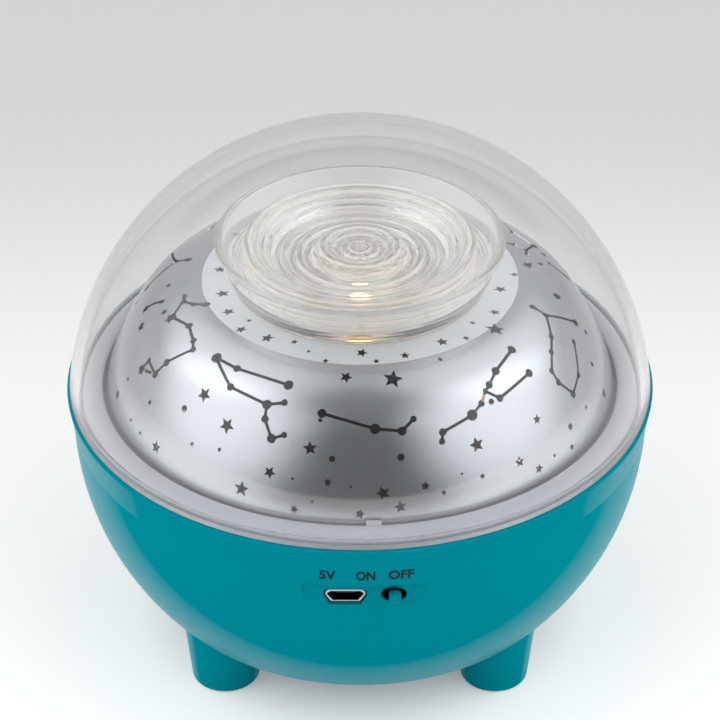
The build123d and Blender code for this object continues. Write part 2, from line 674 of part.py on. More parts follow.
def waves(points, up, down):
    """Ripples through a row of points, which swell up and down by turns."""
    lifts = [up if i % 2 == 0 else down for i in range(len(points) - 1)]
    return [wave(points[i], points[i + 1], lift) for i, lift in enumerate(lifts)]


def make_ripple_lens():
    """The stepped lens: rings stacked up its side, and ripples running in to a domed hub."""
    step = (LENS_TOP_Z - CUP_FLOOR_Z) / LENS_STEPS
    side_r = LENS_TOP_R + 0.2
    edges = [Line((0, CUP_FLOOR_Z), (side_r, CUP_FLOOR_Z))]
    z = CUP_FLOOR_Z
    for i in range(LENS_STEPS):
        edges.append(ThreePointArc((side_r, z), (side_r + LENS_BULGE, z + step / 2), (side_r, z + step)))
        z += step
    ridge = [(r, LENS_TOP_Z - depth) for r, depth in LENS_RIDGE]
    ripples = [(r, LENS_TOP_Z - depth) for r, depth in LENS_RIPPLES]
    hub = [(r, LENS_TOP_Z - depth) for r, depth in LENS_HUB]
    middle = (0, LENS_TOP_Z - HUB_MIDDLE_DEPTH)
    edges.append(wave((side_r, LENS_TOP_Z), ridge[0], 0.3))
    edges.append(Line(ridge[0], ridge[1]))
    edges.append(wave(ridge[1], ridge[2], 0.2))
    edges += waves(ripples, 0.35, -0.3)
    edges += waves(hub, 0.25, -0.15)
    edges.append(Line(hub[-1], middle))
    edges.append(Line(middle, (0, CUP_FLOOR_Z)))
    return turned(*edges)


def make_lens_lock_ring():
    """Holds the cup from inside the dome: a ring on the cup's spigot, with three grip lugs."""
    top_z = land_height() - STAR_WALL
    inner = LENS_HOLE_R + LOCK_RING_GAP
    lug = Box(LUG_DEPTH, LUG_WIDTH, LOCK_RING_HEIGHT)
    ring = tube(inner + LOCK_RING_WIDTH, inner, top_z - LOCK_RING_HEIGHT, top_z)
    for x, y in at_turns(3, LENS_HOLE_R + LUG_PITCH, 90):
        ring += Pos(x, y, top_z - LOCK_RING_HEIGHT / 2) * Rot(0, 0, degrees(atan2(y, x))) * lug
    return ring


# ---------------------------------------------------------------- turntable and drive
def involute(angle):
    """The involute function."""
    return tan(angle) - angle


def gear_face(teeth, addendum, dedendum, widen):
    """Face of a spur gear. Each tooth is widened at the pitch circle by widen."""
    pitch_r = MODULE * teeth / 2
    base_r = pitch_r * cos(PRESSURE_ANGLE)
    root_r = pitch_r - dedendum
    tip_r = pitch_r + addendum
    flank = [root_r, max(base_r, root_r + 0.3), pitch_r, tip_r]
    pitch_half = pi / 2 / teeth + widen / 2 / pitch_r
    points = []
    for i in range(teeth):
        middle = 2 * pi * i / teeth
        halves = []
        for r in flank:
            turn = involute(acos(min(1.0, base_r / r)))
            halves.append(pitch_half + involute(PRESSURE_ANGLE) - turn)
        for r, half in zip(flank, halves):
            points.append((r * cos(middle - half), r * sin(middle - half)))
        for r, half in reversed(list(zip(flank, halves))):
            points.append((r * cos(middle + half), r * sin(middle + half)))
    return make_face(Polyline(*points, close=True))


def make_turntable():
    """Ring that carries the star dome: inner teeth, skirt round the track, lip and spigot."""
    plate_low = STAR_BOTTOM_Z - TURNTABLE_PLATE
    skirt_in = TRACK_R + TRACK_CLEARANCE
    skirt_out = skirt_in + SKIRT_WALL
    skirt_low = DECK_Z + SKIRT_LIFT
    spigot_in = SPIGOT_R - SPIGOT_WALL
    spigot_top = STAR_BOTTOM_Z + SPIGOT_HEIGHT
    body = turned_points(
        (GEAR_BLANK_R, GEAR_BOTTOM_Z), (GEAR_BODY_R, GEAR_BOTTOM_Z), (GEAR_BODY_R, plate_low),
        (skirt_in, plate_low), (skirt_in, skirt_low), (skirt_out, skirt_low), (skirt_out, plate_low),
        (TURNTABLE_LIP_R, plate_low), (TURNTABLE_LIP_R, STAR_BOTTOM_Z), (SPIGOT_R, STAR_BOTTOM_Z),
        (SPIGOT_R, spigot_top), (spigot_in, spigot_top), (spigot_in, STAR_BOTTOM_Z),
        (GEAR_BODY_R, STAR_BOTTOM_Z), (GEAR_BODY_R, GEAR_TOP_Z), (GEAR_BLANK_R, GEAR_TOP_Z),
    )
    spaces = gear_face(RING_TEETH, TOOTH_DEDENDUM, TOOTH_ADDENDUM, BACKLASH / 2)
    cutter = Pos(0, 0, GEAR_BOTTOM_Z - 1) * extrude(spaces, amount=GEAR_TOP_Z - GEAR_BOTTOM_Z + 2)
    return body - cutter


def make_drive_pinion():
    face = gear_face(PINION_TEETH, TOOTH_ADDENDUM, TOOTH_DEDENDUM, -BACKLASH / 2)
    gear = Pos(0, MOTOR_Y, GEAR_BOTTOM_Z) * extrude(face, amount=GEAR_TOP_Z - GEAR_BOTTOM_Z)
    return gear - make_output_shaft()


def make_output_shaft():
    """Shaft with a flat along the length that the pinion sits on."""
    gearbox_top = DECK_Z - DECK_THICKNESS
    shaft = upright(SHAFT_R, gearbox_top - SHAFT_BURIED, SHAFT_TOP_Z, 0, MOTOR_Y)
    flat_y = MOTOR_Y + SHAFT_R - SHAFT_FLAT
    return shaft - block(-3, 3, flat_y, flat_y + 3, GEAR_BOTTOM_Z - 0.5, SHAFT_TOP_Z + 1)


def make_gearbox():
    """Two end plates on spacers with the wheels between them, as one closed block."""
    top = DECK_Z - DECK_THICKNESS
    low = top - GEARBOX_LENGTH
    half_x = MOTOR_X_SIZE / 2
    half_y = MOTOR_Y_SIZE / 2
    box = block(-half_x, half_x, MOTOR_Y - half_y, MOTOR_Y + half_y, low, top)
    for side in (-1, 1):
        edge = side * half_x
        box -= block(
            edge - GEARBOX_GROOVE, edge + GEARBOX_GROOVE, MOTOR_Y - half_y - 1, MOTOR_Y + half_y + 1,
            low + GEARBOX_PLATE, top - GEARBOX_PLATE,
        )
    return box - upright(SHAFT_R + SHAFT_CLEARANCE, top - SHAFT_BURIED - 0.1, top + 1, 0, MOTOR_Y)


def make_motor_can():
    """Round-sided can with flats front and back, and its end cap."""
    top = DECK_Z - DECK_THICKNESS - GEARBOX_LENGTH
    low = top - MOTOR_CAN_LENGTH
    half_y = MOTOR_Y_SIZE / 2
    flats = block(-20, 20, MOTOR_Y - half_y, MOTOR_Y + half_y, low - 2, top)
    can = upright(MOTOR_X_SIZE / 2, low, top, 0, MOTOR_Y) & flats
    cap = upright(CAP_R, low - CAP_HEIGHT, low, 0, MOTOR_Y)
    return can + cap


def make_motor_bracket():
    """Cup that hangs from the deck by two ears and holds the motor and gearbox."""
    top = DECK_Z - DECK_THICKNESS
    low = top - GEARBOX_LENGTH - MOTOR_CAN_LENGTH
    half_x = MOTOR_X_SIZE / 2 + BRACKET_GAP
    half_y = MOTOR_Y_SIZE / 2 + BRACKET_GAP
    out_x = half_x + BRACKET_WALL
    out_y = half_y + BRACKET_WALL
    outer = block(-out_x, out_x, MOTOR_Y - out_y, MOTOR_Y + out_y, low - BRACKET_WALL, top)
    ear_low = top - MOTOR_EAR_THICKNESS
    ear_x = MOTOR_EAR_X + EAR_REACH
    ears = block(-ear_x, ear_x, MOTOR_Y - EAR_REACH, MOTOR_Y + EAR_REACH, ear_low, top)
    inner = block(-half_x, half_x, MOTOR_Y - half_y, MOTOR_Y + half_y, low, top)
    lead_window = block(-4, 4, MOTOR_Y - half_y - 3, MOTOR_Y, low + 0.4, low + 5)
    cap_hole = upright(CAP_HOLE_R, low - 2, low + 1, 0, MOTOR_Y)
    side_windows = block(-20, 20, MOTOR_Y - 3, MOTOR_Y + 3, low + 4, top - 6)
    bracket = outer + ears - inner - lead_window - cap_hole - side_windows
    for x in (-MOTOR_EAR_X, MOTOR_EAR_X):
        bracket -= upright(SCREW_R + SCREW_CLEARANCE, ear_low - 1, top + 1, x, MOTOR_Y)
    return bracket


# ---------------------------------------------------------------- deck and pillar
def deck_screw_seat():
    """Height of the seat under the heads of the deck's screws, which lie sunk in the plate."""
    return DECK_Z - SCREW_HEAD_HEIGHT - 0.2


def pillar_screw_places():
    """The pillar's screws, as (x, y)."""
    return at_turns(PILLAR_SCREWS, PILLAR_SCREW_PITCH_R, PILLAR_SCREW_START)


def make_deck():
    """Plate with a low rim, the turntable's track, screw bosses and stiffening ribs beneath."""
    low = DECK_Z - DECK_THICKNESS
    deck = upright(DECK_R, low, DECK_Z)
    deck += tube(DECK_R, DECK_R - DECK_RIM_WALL, DECK_Z, DECK_RIM_Z)
    deck += tube(TRACK_R, TRACK_R - TRACK_WALL, DECK_Z, TRACK_Z)
    collar_in = DECK_COLLAR_R - DECK_COLLAR_WALL
    half_rib = RIB_THICKNESS / 2
    rib = block(DECK_COLLAR_R - 0.5, DECK_BOSS_PITCH_R, -half_rib, half_rib, DECK_BOSS_Z, low)
    for angle in RIB_ANGLES:
        deck += Rot(0, 0, angle) * rib
    deck += tube(DECK_COLLAR_R, collar_in, DECK_BOSS_Z, low)
    for x, y in at_turns(4, DECK_BOSS_PITCH_R, 45):
        deck += upright(DECK_BOSS_R, DECK_BOSS_Z, low, x, y)
        deck -= upright(SCREW_R + SCREW_CLEARANCE, DECK_BOSS_Z - 1, DECK_Z + 1, x, y)
        deck -= upright(SCREW_HEAD_R + SCREW_CLEARANCE, deck_screw_seat(), DECK_Z + 1, x, y)
    for x, y in BOARD_POSTS:
        deck += upright(BOARD_POST_R, BOARD_Z, low, x, y)
        deck -= upright(SCREW_R, BOARD_Z - 1, BOARD_Z + 6, x, y)
    for x in (-MOTOR_EAR_X, MOTOR_EAR_X):
        deck -= upright(SCREW_R, low - 1, DECK_Z - 0.4, x, MOTOR_Y)
    for x, y in pillar_screw_places():
        deck += upright(PILLAR_BOSS_R, DECK_BOSS_Z, low, x, y)
        deck -= upright(SCREW_R, DECK_BOSS_Z + 0.8, DECK_Z + 1, x, y)
    deck -= upright(PILLAR_BORE_R, DECK_BOSS_Z - 1, DECK_Z + 1)
    deck -= upright(SHAFT_R + 0.6, low - 1, DECK_Z + 1, 0, MOTOR_Y)
    return deck


def make_led_pillar():
    """Hollow stem: screwed flange, tapered column with three fins, and a dish for the board."""
    flange_z = DECK_Z + PILLAR_FLANGE_THICKNESS
    dish_in = LED_BOARD_R + DISH_GAP
    dish_out = dish_in + DISH_WALL
    dish_low = PILLAR_TOP_Z - 1
    dish_top = PILLAR_TOP_Z + 1
    pillar = turned_points(
        (PILLAR_BORE_R, DECK_Z), (PILLAR_FLANGE_R, DECK_Z), (PILLAR_FLANGE_R, flange_z),
        (PILLAR_R + 0.4, flange_z), (PILLAR_R, PILLAR_TOP_Z - 4), (dish_in, dish_low),
        (dish_out, dish_low), (dish_out, dish_top), (dish_in, dish_top), (dish_in, PILLAR_TOP_Z),
        (PILLAR_BORE_R, PILLAR_TOP_Z),
    )
    fin_in = PILLAR_R - 0.6
    fin_low = DECK_Z + 1
    fin_face = Plane.XZ * make_face(Polyline(
        (fin_in, fin_low), (PILLAR_FLANGE_R - 0.4, fin_low), (fin_in, fin_low + FIN_HEIGHT), close=True,
    ))
    fin = extrude(fin_face, amount=FIN_THICKNESS / 2, both=True)
    for i in range(3):
        pillar += Rot(0, 0, 90 + 120 * i) * fin
    for x, y in pillar_screw_places():
        pillar -= upright(SCREW_R + SCREW_CLEARANCE, DECK_Z - 1, flange_z + 1, x, y)
        pillar -= upright(SCREW_HEAD_R + SCREW_CLEARANCE, flange_z, flange_z + 3.4, x, y)
    return pillar


def make_led_board():
    board = upright(LED_BOARD_R, PILLAR_TOP_Z, PILLAR_TOP_Z + LED_BOARD_THICKNESS)
    return board - upright(LED_BOARD_HOLE_R, PILLAR_TOP_Z - 1, PILLAR_TOP_Z + 3)


def make_led(angle):
    """A round 5 mm light-emitting diode, with its collar, standing on the board."""
    low = PILLAR_TOP_Z + LED_BOARD_THICKNESS
    shoulder = LED_HEIGHT - LED_R
    collar_r = LED_R + LED_COLLAR
    led = turned(
        Line((0, 0), (collar_r, 0)),
        Line((collar_r, 0), (collar_r, LED_COLLAR_HEIGHT)),
        Line((collar_r, LED_COLLAR_HEIGHT), (LED_R, LED_COLLAR_HEIGHT)),
        Line((LED_R, LED_COLLAR_HEIGHT), (LED_R, shoulder)),
        CenterArc((0, shoulder), LED_R, 0, 90),
        Line((0, LED_HEIGHT), (0, 0)),
    )
    x = LED_PITCH_R * cos(radians(angle))
    y = LED_PITCH_R * sin(radians(angle))
    return Pos(x, y, low) * led


# ---------------------------------------------------------------- main board, socket and switch
def make_main_board():
    low = BOARD_Z - BOARD_THICKNESS
    board = block(BOARD_LEFT, BOARD_RIGHT, BOARD_FRONT_Y, BOARD_BACK_Y, low, BOARD_Z)
    for x, y in BOARD_POSTS:
        board -= upright(SCREW_R + SCREW_CLEARANCE, low - 1, BOARD_Z + 1, x, y)
    return board


def make_control_chip():
    half = CHIP_SIZE / 2
    return block(
        CHIP_X - half, CHIP_X + half, CHIP_Y - half, CHIP_Y + half, BOARD_Z, BOARD_Z + CHIP_THICKNESS
    )


def make_smoothing_capacitor():
    return upright(CAPACITOR_R, BOARD_Z, BOARD_Z + CAPACITOR_HEIGHT, CAPACITOR_X, CAPACITOR_Y)


def make_usb_shell():
    mouth_y = POCKET_Y + PORT_RECESS
    back_y = mouth_y + PORT_DEPTH
    outer = facing_front(port_face(0), PORT_X, PORT_Z, mouth_y, back_y)
    mouth = facing_front(port_face(-PORT_WALL), PORT_X, PORT_Z, mouth_y - 1, back_y - PORT_WALL)
    return outer - mouth


def make_usb_tongue():
    back_y = POCKET_Y + PORT_RECESS + PORT_DEPTH - PORT_WALL
    front_y = POCKET_Y + BLADE_RECESS
    high = PORT_Z + PORT_HEIGHT / 2 - PORT_WALL
    half = BLADE_WIDTH / 2
    half_root = BLADE_ROOT_WIDTH / 2
    top = high - BLADE_DROP
    blade = block(PORT_X - half, PORT_X + half, front_y, back_y, top - BLADE_THICKNESS, top)
    root = block(
        PORT_X - half_root, PORT_X + half_root, back_y - BLADE_ROOT_DEPTH, back_y,
        high - BLADE_ROOT_HEIGHT, high,
    )
    return blade + root


def make_switch_body():
    """Folded metal case with a window for the lever."""
    half = SWITCH_WIDTH / 2
    half_track = half - SWITCH_END_WALL
    half_track_z = SWITCH_TRACK_HEIGHT / 2
    half_window = WINDOW_WIDTH / 2
    half_window_z = WINDOW_HEIGHT / 2
    case = block(
        SLOT_X - half, SLOT_X + half, SWITCH_FRONT_Y, SWITCH_BACK_Y, BOARD_Z, BOARD_Z + SWITCH_HEIGHT
    )
    track = block(
        SLOT_X - half_track, SLOT_X + half_track, SWITCH_FRONT_Y + SWITCH_FRONT_WALL,
        SWITCH_BACK_Y - SWITCH_BACK_WALL, SLOT_Z - half_track_z, SLOT_Z + half_track_z,
    )
    window = block(
        SLOT_X - half_window, SLOT_X + half_window, SWITCH_FRONT_Y - 1, SWITCH_FRONT_Y + 1,
        SLOT_Z - half_window_z, SLOT_Z + half_window_z,
    )
    return case - track - window


def make_switch_lever():
    """Plate that slides in the case, and the stem that the knob is pushed on."""
    half_x = LEVER_PLATE_WIDTH / 2
    half_z = LEVER_PLATE_HEIGHT / 2
    plate_y = SWITCH_FRONT_Y + LEVER_PLATE_GAP
    plate = block(
        KNOB_X - half_x, KNOB_X + half_x, plate_y, plate_y + LEVER_PLATE_DEPTH,
        SLOT_Z - half_z, SLOT_Z + half_z,
    )
    return plate + lever_stem(plate_y + 0.1)


def lever_stem(back_y):
    """The lever's stem, from its tip back to back_y."""
    half_x = LEVER_WIDTH / 2
    half_z = LEVER_HEIGHT / 2
    return block(KNOB_X - half_x, KNOB_X + half_x, LEVER_TIP_Y, back_y, SLOT_Z - half_z, SLOT_Z + half_z)


def make_switch_knob():
    """Teal knob: a dust plate behind the wall, and a round-nosed stem through the slot."""
    section = RectangleRounded(KNOB_WIDTH, KNOB_HEIGHT, KNOB_CORNER_R)
    tip_y = POCKET_Y - KNOB_PROUD
    back_y = KNOB_PLATE_Y + KNOB_PLATE_THICKNESS
    plate = facing_front(
        Rectangle(KNOB_PLATE_WIDTH, KNOB_PLATE_HEIGHT), KNOB_X, SLOT_Z, KNOB_PLATE_Y, back_y
    )
    stem = facing_front(section, KNOB_X, SLOT_Z, tip_y, back_y)
    stem = fillet(stem.edges().group_by(Axis.Y)[0], 0.5)
    return plate + stem - lever_stem(back_y + 1)


def make_lead_sockets():
    """Three two-pin sockets along the board's back edge, open towards the back."""
    half = SOCKET_WIDTH / 2
    inner = half - SOCKET_WALL
    top = BOARD_Z + SOCKET_HEIGHT
    sockets = []
    for x in (-SOCKET_PITCH, 0, SOCKET_PITCH):
        case = block(x - half, x + half, SOCKET_FRONT_Y, SOCKET_BACK_Y, BOARD_Z, top)
        case -= block(
            x - inner, x + inner, LEAD_END_Y, SOCKET_BACK_Y + 1, BOARD_Z + SOCKET_WALL, top - SOCKET_WALL
        )
        sockets.append(case)
    return sockets


# ---------------------------------------------------------------- battery and leads
def make_battery_cradle():
    """Trough for the cell on the bowl's floor, with end walls and two screwed ears."""
    floor_z = BOWL_FLAT_Z + BOWL_WALL
    half_l = CELL_LENGTH / 2 + CELL_END_GAP + CRADLE_WALL
    half_w = CELL_R + CRADLE_WALL
    trough = block(-half_l, half_l, -half_w, half_w, floor_z, CELL_Z + CRADLE_ABOVE)
    ear_top = CRADLE_BOSS_Z + CRADLE_EAR_THICKNESS
    ears = block(-3.4, 3.4, -CRADLE_EAR_Y - 3, CRADLE_EAR_Y + 3, CRADLE_BOSS_Z, ear_top)
    space_r = CELL_R + 0.1
    space_l = half_l - CRADLE_WALL
    cell_space = Pos(0, 0, CELL_Z) * Rot(0, 90, 0) * Cylinder(space_r, 2 * space_l)
    mouth = block(-space_l, space_l, -space_r, space_r, CELL_Z, CELL_Z + CRADLE_ABOVE + 1)
    cradle = trough + ears - cell_space - mouth
    for y in (-CRADLE_EAR_Y, CRADLE_EAR_Y):
        cradle -= upright(SCREW_R + SCREW_CLEARANCE, CRADLE_BOSS_Z - 1, ear_top + 1, 0, y)
    return cradle


def make_battery_cell():
    """The cell's sleeved can, and the raised button at its positive end."""
    can_length = CELL_LENGTH - BUTTON_HEIGHT
    can = fillet(Cylinder(CELL_R, can_length).edges(), CELL_EDGE)
    cell = can + upright(BUTTON_R, can_length / 2, can_length / 2 + BUTTON_HEIGHT)
    return Pos(-BUTTON_HEIGHT / 2, 0, CELL_Z) * Rot(0, 90, 0) * cell


def make_battery_leads():
    """Two leads from the top of the cell, near its end, to the left socket."""
    leads = []
    for side in LEAD_OFFSETS:
        cell_x = BATTERY_LEAD_X + side
        socket_x = -SOCKET_PITCH + side
        points = [
            (cell_x, BATTERY_LEAD_Y, CELL_Z + CELL_R), (cell_x, BATTERY_LEAD_Y, BATTERY_LEAD_TOP_Z),
            (socket_x, -24, LEAD_Z), (socket_x, LEAD_END_Y, LEAD_Z),
        ]
        leads.append(lead(points, [4.0, 5.0]))
    return leads


def make_motor_leads():
    """Two leads from the foot of the motor, over the cell, to the right socket."""
    can_y = MOTOR_Y - MOTOR_Y_SIZE / 2
    leads = []
    for side in LEAD_OFFSETS:
        motor_x = MOTOR_LEAD_X + side
        socket_x = SOCKET_PITCH + side
        points = [
            (motor_x, can_y, MOTOR_LEAD_Z), (motor_x, 17, MOTOR_LEAD_Z), (motor_x, 15.5, LEAD_Z),
            (socket_x, -22, LEAD_Z), (socket_x, LEAD_END_Y, LEAD_Z),
        ]
        leads.append(lead(points, [5.0, 5.0, 12.0]))
    return leads


def make_led_leads():
    """Two leads from the middle socket, then up the bore of the pillar to the board."""
    leads = []
    for side in LEAD_OFFSETS:
        points = [(side, LEAD_END_Y, LEAD_Z), (side, 0, LEAD_Z), (side, 0, PILLAR_TOP_Z)]
        leads.append(lead(points, [6.0]))
    return leads


# ---------------------------------------------------------------- screws
def make_deck_screws():
    places = at_turns(4, DECK_BOSS_PITCH_R, 45)
    return [screw(x, y, deck_screw_seat(), DECK_SCREW_LENGTH) for x, y in places]


def make_pillar_screws():
    head_z = DECK_Z + PILLAR_FLANGE_THICKNESS
    return [screw(x, y, head_z, 5.5) for x, y in pillar_screw_places()]


def make_board_screws():
    return [screw(x, y, BOARD_Z - BOARD_THICKNESS, 6, up=True) for x, y in BOARD_POSTS]


def make_motor_screws():
    head_z = DECK_Z - DECK_THICKNESS - MOTOR_EAR_THICKNESS
    return [screw(x, MOTOR_Y, head_z, 3.6, up=True) for x in (-MOTOR_EAR_X, MOTOR_EAR_X)]


def make_cradle_screws():
    head_z = CRADLE_BOSS_Z + CRADLE_EAR_THICKNESS
    return [screw(0, y, head_z, 5) for y in (-CRADLE_EAR_Y, CRADLE_EAR_Y)]


# ---------------------------------------------------------------- all sub-parts
def main():
    os.makedirs("parts", exist_ok=True)
    save("base_bowl", make_base_bowl())
    save("clear_dome", make_clear_dome())
    save("rim_ring", make_rim_ring())
    save("deck", make_deck())
    save("star_dome", make_star_dome())
    save("lens_cup", make_lens_cup())
    save("ripple_lens", make_ripple_lens())
    save("lens_lock_ring", make_lens_lock_ring())
    save("turntable", make_turntable())
    save("drive_pinion", make_drive_pinion())
    save("output_shaft", make_output_shaft())
    save("gearbox", make_gearbox())
    save("motor_can", make_motor_can())
    save("motor_bracket", make_motor_bracket())
    save("led_pillar", make_led_pillar())
    save("led_board", make_led_board())
    save("led_warm", make_led(270))
    save("led_blue", make_led(150))
    save("led_green", make_led(30))
    save("main_board", make_main_board())
    save("control_chip", make_control_chip())
    save("smoothing_capacitor", make_smoothing_capacitor())
    save("lead_sockets", *make_lead_sockets())
    save("usb_shell", make_usb_shell())
    save("usb_tongue", make_usb_tongue())
    save("switch_body", make_switch_body())
    save("switch_lever", make_switch_lever())
    save("switch_knob", make_switch_knob())
    save("battery_cradle", make_battery_cradle())
    save("battery_cell", make_battery_cell())
    save("battery_leads", *make_battery_leads())
    save("motor_leads", *make_motor_leads())
    save("led_leads", *make_led_leads())
    save("deck_screws", *make_deck_screws())
    save("pillar_screws", *make_pillar_screws())
    save("board_screws", *make_board_screws())
    save("motor_screws", *make_motor_screws())
    save("cradle_screws", *make_cradle_screws())


main()
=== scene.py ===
import json
from math import acos, asin, atan, atan2, cos, pi, radians, sin, sqrt

import bmesh
import bpy
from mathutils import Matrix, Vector


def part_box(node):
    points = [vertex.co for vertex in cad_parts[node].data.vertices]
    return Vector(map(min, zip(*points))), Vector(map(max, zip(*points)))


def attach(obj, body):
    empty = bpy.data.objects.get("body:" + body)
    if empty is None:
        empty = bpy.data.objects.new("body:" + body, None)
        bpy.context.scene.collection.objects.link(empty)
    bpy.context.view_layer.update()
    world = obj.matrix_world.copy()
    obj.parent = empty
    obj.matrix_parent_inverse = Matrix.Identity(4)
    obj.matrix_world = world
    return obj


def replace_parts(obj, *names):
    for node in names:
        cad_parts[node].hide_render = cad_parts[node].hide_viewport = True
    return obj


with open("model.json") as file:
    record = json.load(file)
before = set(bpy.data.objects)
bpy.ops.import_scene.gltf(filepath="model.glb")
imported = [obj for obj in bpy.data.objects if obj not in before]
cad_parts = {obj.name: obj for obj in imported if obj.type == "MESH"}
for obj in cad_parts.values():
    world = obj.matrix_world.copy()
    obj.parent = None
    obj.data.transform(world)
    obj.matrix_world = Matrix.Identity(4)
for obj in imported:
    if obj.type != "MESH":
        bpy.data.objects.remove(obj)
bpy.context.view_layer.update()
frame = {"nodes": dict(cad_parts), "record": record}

# Star night light projector, in metres. +Z is up, the origin is on the floor under the middle of the
# four feet, and the socket and the switch face -Y. Sections are (radius, height).
MM = 0.001
BOWL_TOP_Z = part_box("base_bowl")[1].z
LAND_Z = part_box("star_dome")[1].z    # the flat land round the lens, on the star dome

# ---------------------------------------------------------------- camera
IMAGE_WIDTH = 720
SENSOR = 36.0             # width, in millimetres
FOCAL_PIXELS = 2923.0
AIM_PIXEL_Y = 373.4       # the image row on which the aiming point lies
AIM_POINT = Vector((0, 0, 56 * MM))
CAMERA_DISTANCE = 0.600
CAMERA_ELEVATION = radians(34.3)
CLIP_START = 0.01


def add_camera():
    """The camera, in front of the object and looking down at it."""
    data = bpy.data.cameras.new("camera")
    data.sensor_width = SENSOR
    data.lens = SENSOR * FOCAL_PIXELS / IMAGE_WIDTH
    data.clip_start = CLIP_START
    camera = bpy.data.objects.new("camera", data)
    bpy.context.scene.collection.objects.link(camera)
    back = Vector((0, -cos(CAMERA_ELEVATION), sin(CAMERA_ELEVATION)))
    camera.location = AIM_POINT + back * CAMERA_DISTANCE
    tilt = atan((AIM_PIXEL_Y - IMAGE_WIDTH / 2) / FOCAL_PIXELS)
    camera.rotation_euler = (pi / 2 - CAMERA_ELEVATION + tilt, 0, 0)
    bpy.context.scene.camera = camera


# ---------------------------------------------------------------- materials
def srgb(red, green, blue):
    """Linear colour from 8-bit sRGB values."""
    def channel(v):
        v /= 255
        return v / 12.92 if v <= 0.04045 else ((v + 0.055) / 1.055) ** 2.4
    return channel(red), channel(green), channel(blue), 1.0


NOISE_LOW = 0.25          # nearly all noise lies between these two
NOISE_HIGH = 0.75
WAVE_TURNS = 20           # the wave texture's own number of radians per unit of length at scale 1


class Nodes:
    """Shorthand for building one material's node tree."""

    def __init__(self, name):
        self.material = bpy.data.materials.new(name)
        self.material.use_nodes = True
        self.tree = self.material.node_tree
        self.shader = self.tree.nodes["Principled BSDF"]
        self.output = self.tree.nodes["Material Output"]
        self.coordinates = self.add("ShaderNodeTexCoord").outputs["Object"]

    def add(self, kind, **settings):
        node = self.tree.nodes.new(kind)
        for key, value in settings.items():
            setattr(node, key, value)
        return node

    def link(self, source, target):
        self.tree.links.new(source, target)

    def set(self, socket, value):
        """Give a socket of the shader a constant."""
        self.shader.inputs[socket].default_value = value

    def map_range(self, source, **settings):
        """Spread a value from one range into another. Ranges are 0 to 1 where nothing is given."""
        smoothing = settings.pop("smoothing", "LINEAR")
        node = self.add("ShaderNodeMapRange", interpolation_type=smoothing)
        for key, value in settings.items():
            node.inputs[key.replace("_", " ").title()].default_value = value
        self.link(source, node.inputs["Value"])
        return node.outputs["Result"]

    def height(self):
        """Height above the floor."""
        split = self.add("ShaderNodeSeparateXYZ")
        self.link(self.coordinates, split.inputs["Vector"])
        return split.outputs["Z"]

    def noise(self, scale, detail=2.0, stretch=(1, 1, 1)):
        """Noise in 0 to 1, with scale in features per metre."""
        mapping = self.add("ShaderNodeMapping")
        mapping.inputs["Scale"].default_value = stretch
        self.link(self.coordinates, mapping.inputs["Vector"])
        node = self.add("ShaderNodeTexNoise")
        node.inputs["Scale"].default_value = scale
        node.inputs["Detail"].default_value = detail
        self.link(mapping.outputs["Vector"], node.inputs["Vector"])
        return node.outputs["Fac"]

    def rings(self, pitch):
        """Even waves in 0 to 1, in rings round the upright axis, pitch metres apart."""
        node = self.add("ShaderNodeTexWave", wave_type="RINGS", rings_direction="Z")
        node.inputs["Scale"].default_value = 2 * pi / (WAVE_TURNS * pitch)
        self.link(self.coordinates, node.inputs["Vector"])
        return node.outputs["Fac"]

    def ramp(self, source, low, high, socket):
        """Spread noise between two numbers, into a socket of the shader."""
        spread = self.map_range(source, from_min=NOISE_LOW, from_max=NOISE_HIGH, to_min=low, to_max=high)
        self.link(spread, self.shader.inputs[socket])

    def step(self, low, high, low_z, high_z, socket):
        """Pass smoothly from one number below low_z to another above high_z, into a socket."""
        rise = self.map_range(
            self.height(), from_min=low_z, from_max=high_z, to_min=low, to_max=high, smoothing="SMOOTHSTEP",
        )
        self.link(rise, self.shader.inputs[socket])

    def tint(self, source, first, second):
        """Blend the base colour between two colours."""
        node = self.add("ShaderNodeMix", data_type="RGBA")
        node.inputs["A"].default_value = first
        node.inputs["B"].default_value = second
        self.link(source, node.inputs["Factor"])
        self.link(node.outputs["Result"], self.shader.inputs["Base Color"])

    def bump(self, source, height):
        """Raise the surface by up to height where the source is 1."""
        node = self.add("ShaderNodeBump")
        node.inputs["Strength"].default_value = 1.0
        node.inputs["Distance"].default_value = height
        self.link(source, node.inputs["Height"])
        self.link(node.outputs["Normal"], self.shader.inputs["Normal"])


MOULDED_IOR = 1.5


def plastic(name, colour, darker, roughness, grain=2600.0, grain_height=0.004 * MM):
    """Moulded plastic: soft colour drift, uneven gloss and a fine surface grain."""
    m = Nodes(name)
    m.tint(m.noise(55.0), colour, darker)
    m.ramp(m.noise(160.0), roughness * 0.9, roughness * 1.12, "Roughness")
    m.bump(m.noise(grain, 3.0), grain_height)
    m.set("IOR", MOULDED_IOR)
    return m.material


def metal(name, colour, darker, roughness, stretch=(1, 1, 1), grain=900.0, grain_height=0.002 * MM):
    """Metal or plating with a faint cloudiness and drawn or cast grain."""
    m = Nodes(name)
    m.set("Metallic", 1.0)
    m.tint(m.noise(40.0, 3.0), colour, darker)
    m.ramp(m.noise(grain, 2.0, stretch), roughness * 0.85, roughness * 1.15, "Roughness")
    m.bump(m.noise(grain * 2, 2.0, stretch), grain_height)
    return m.material


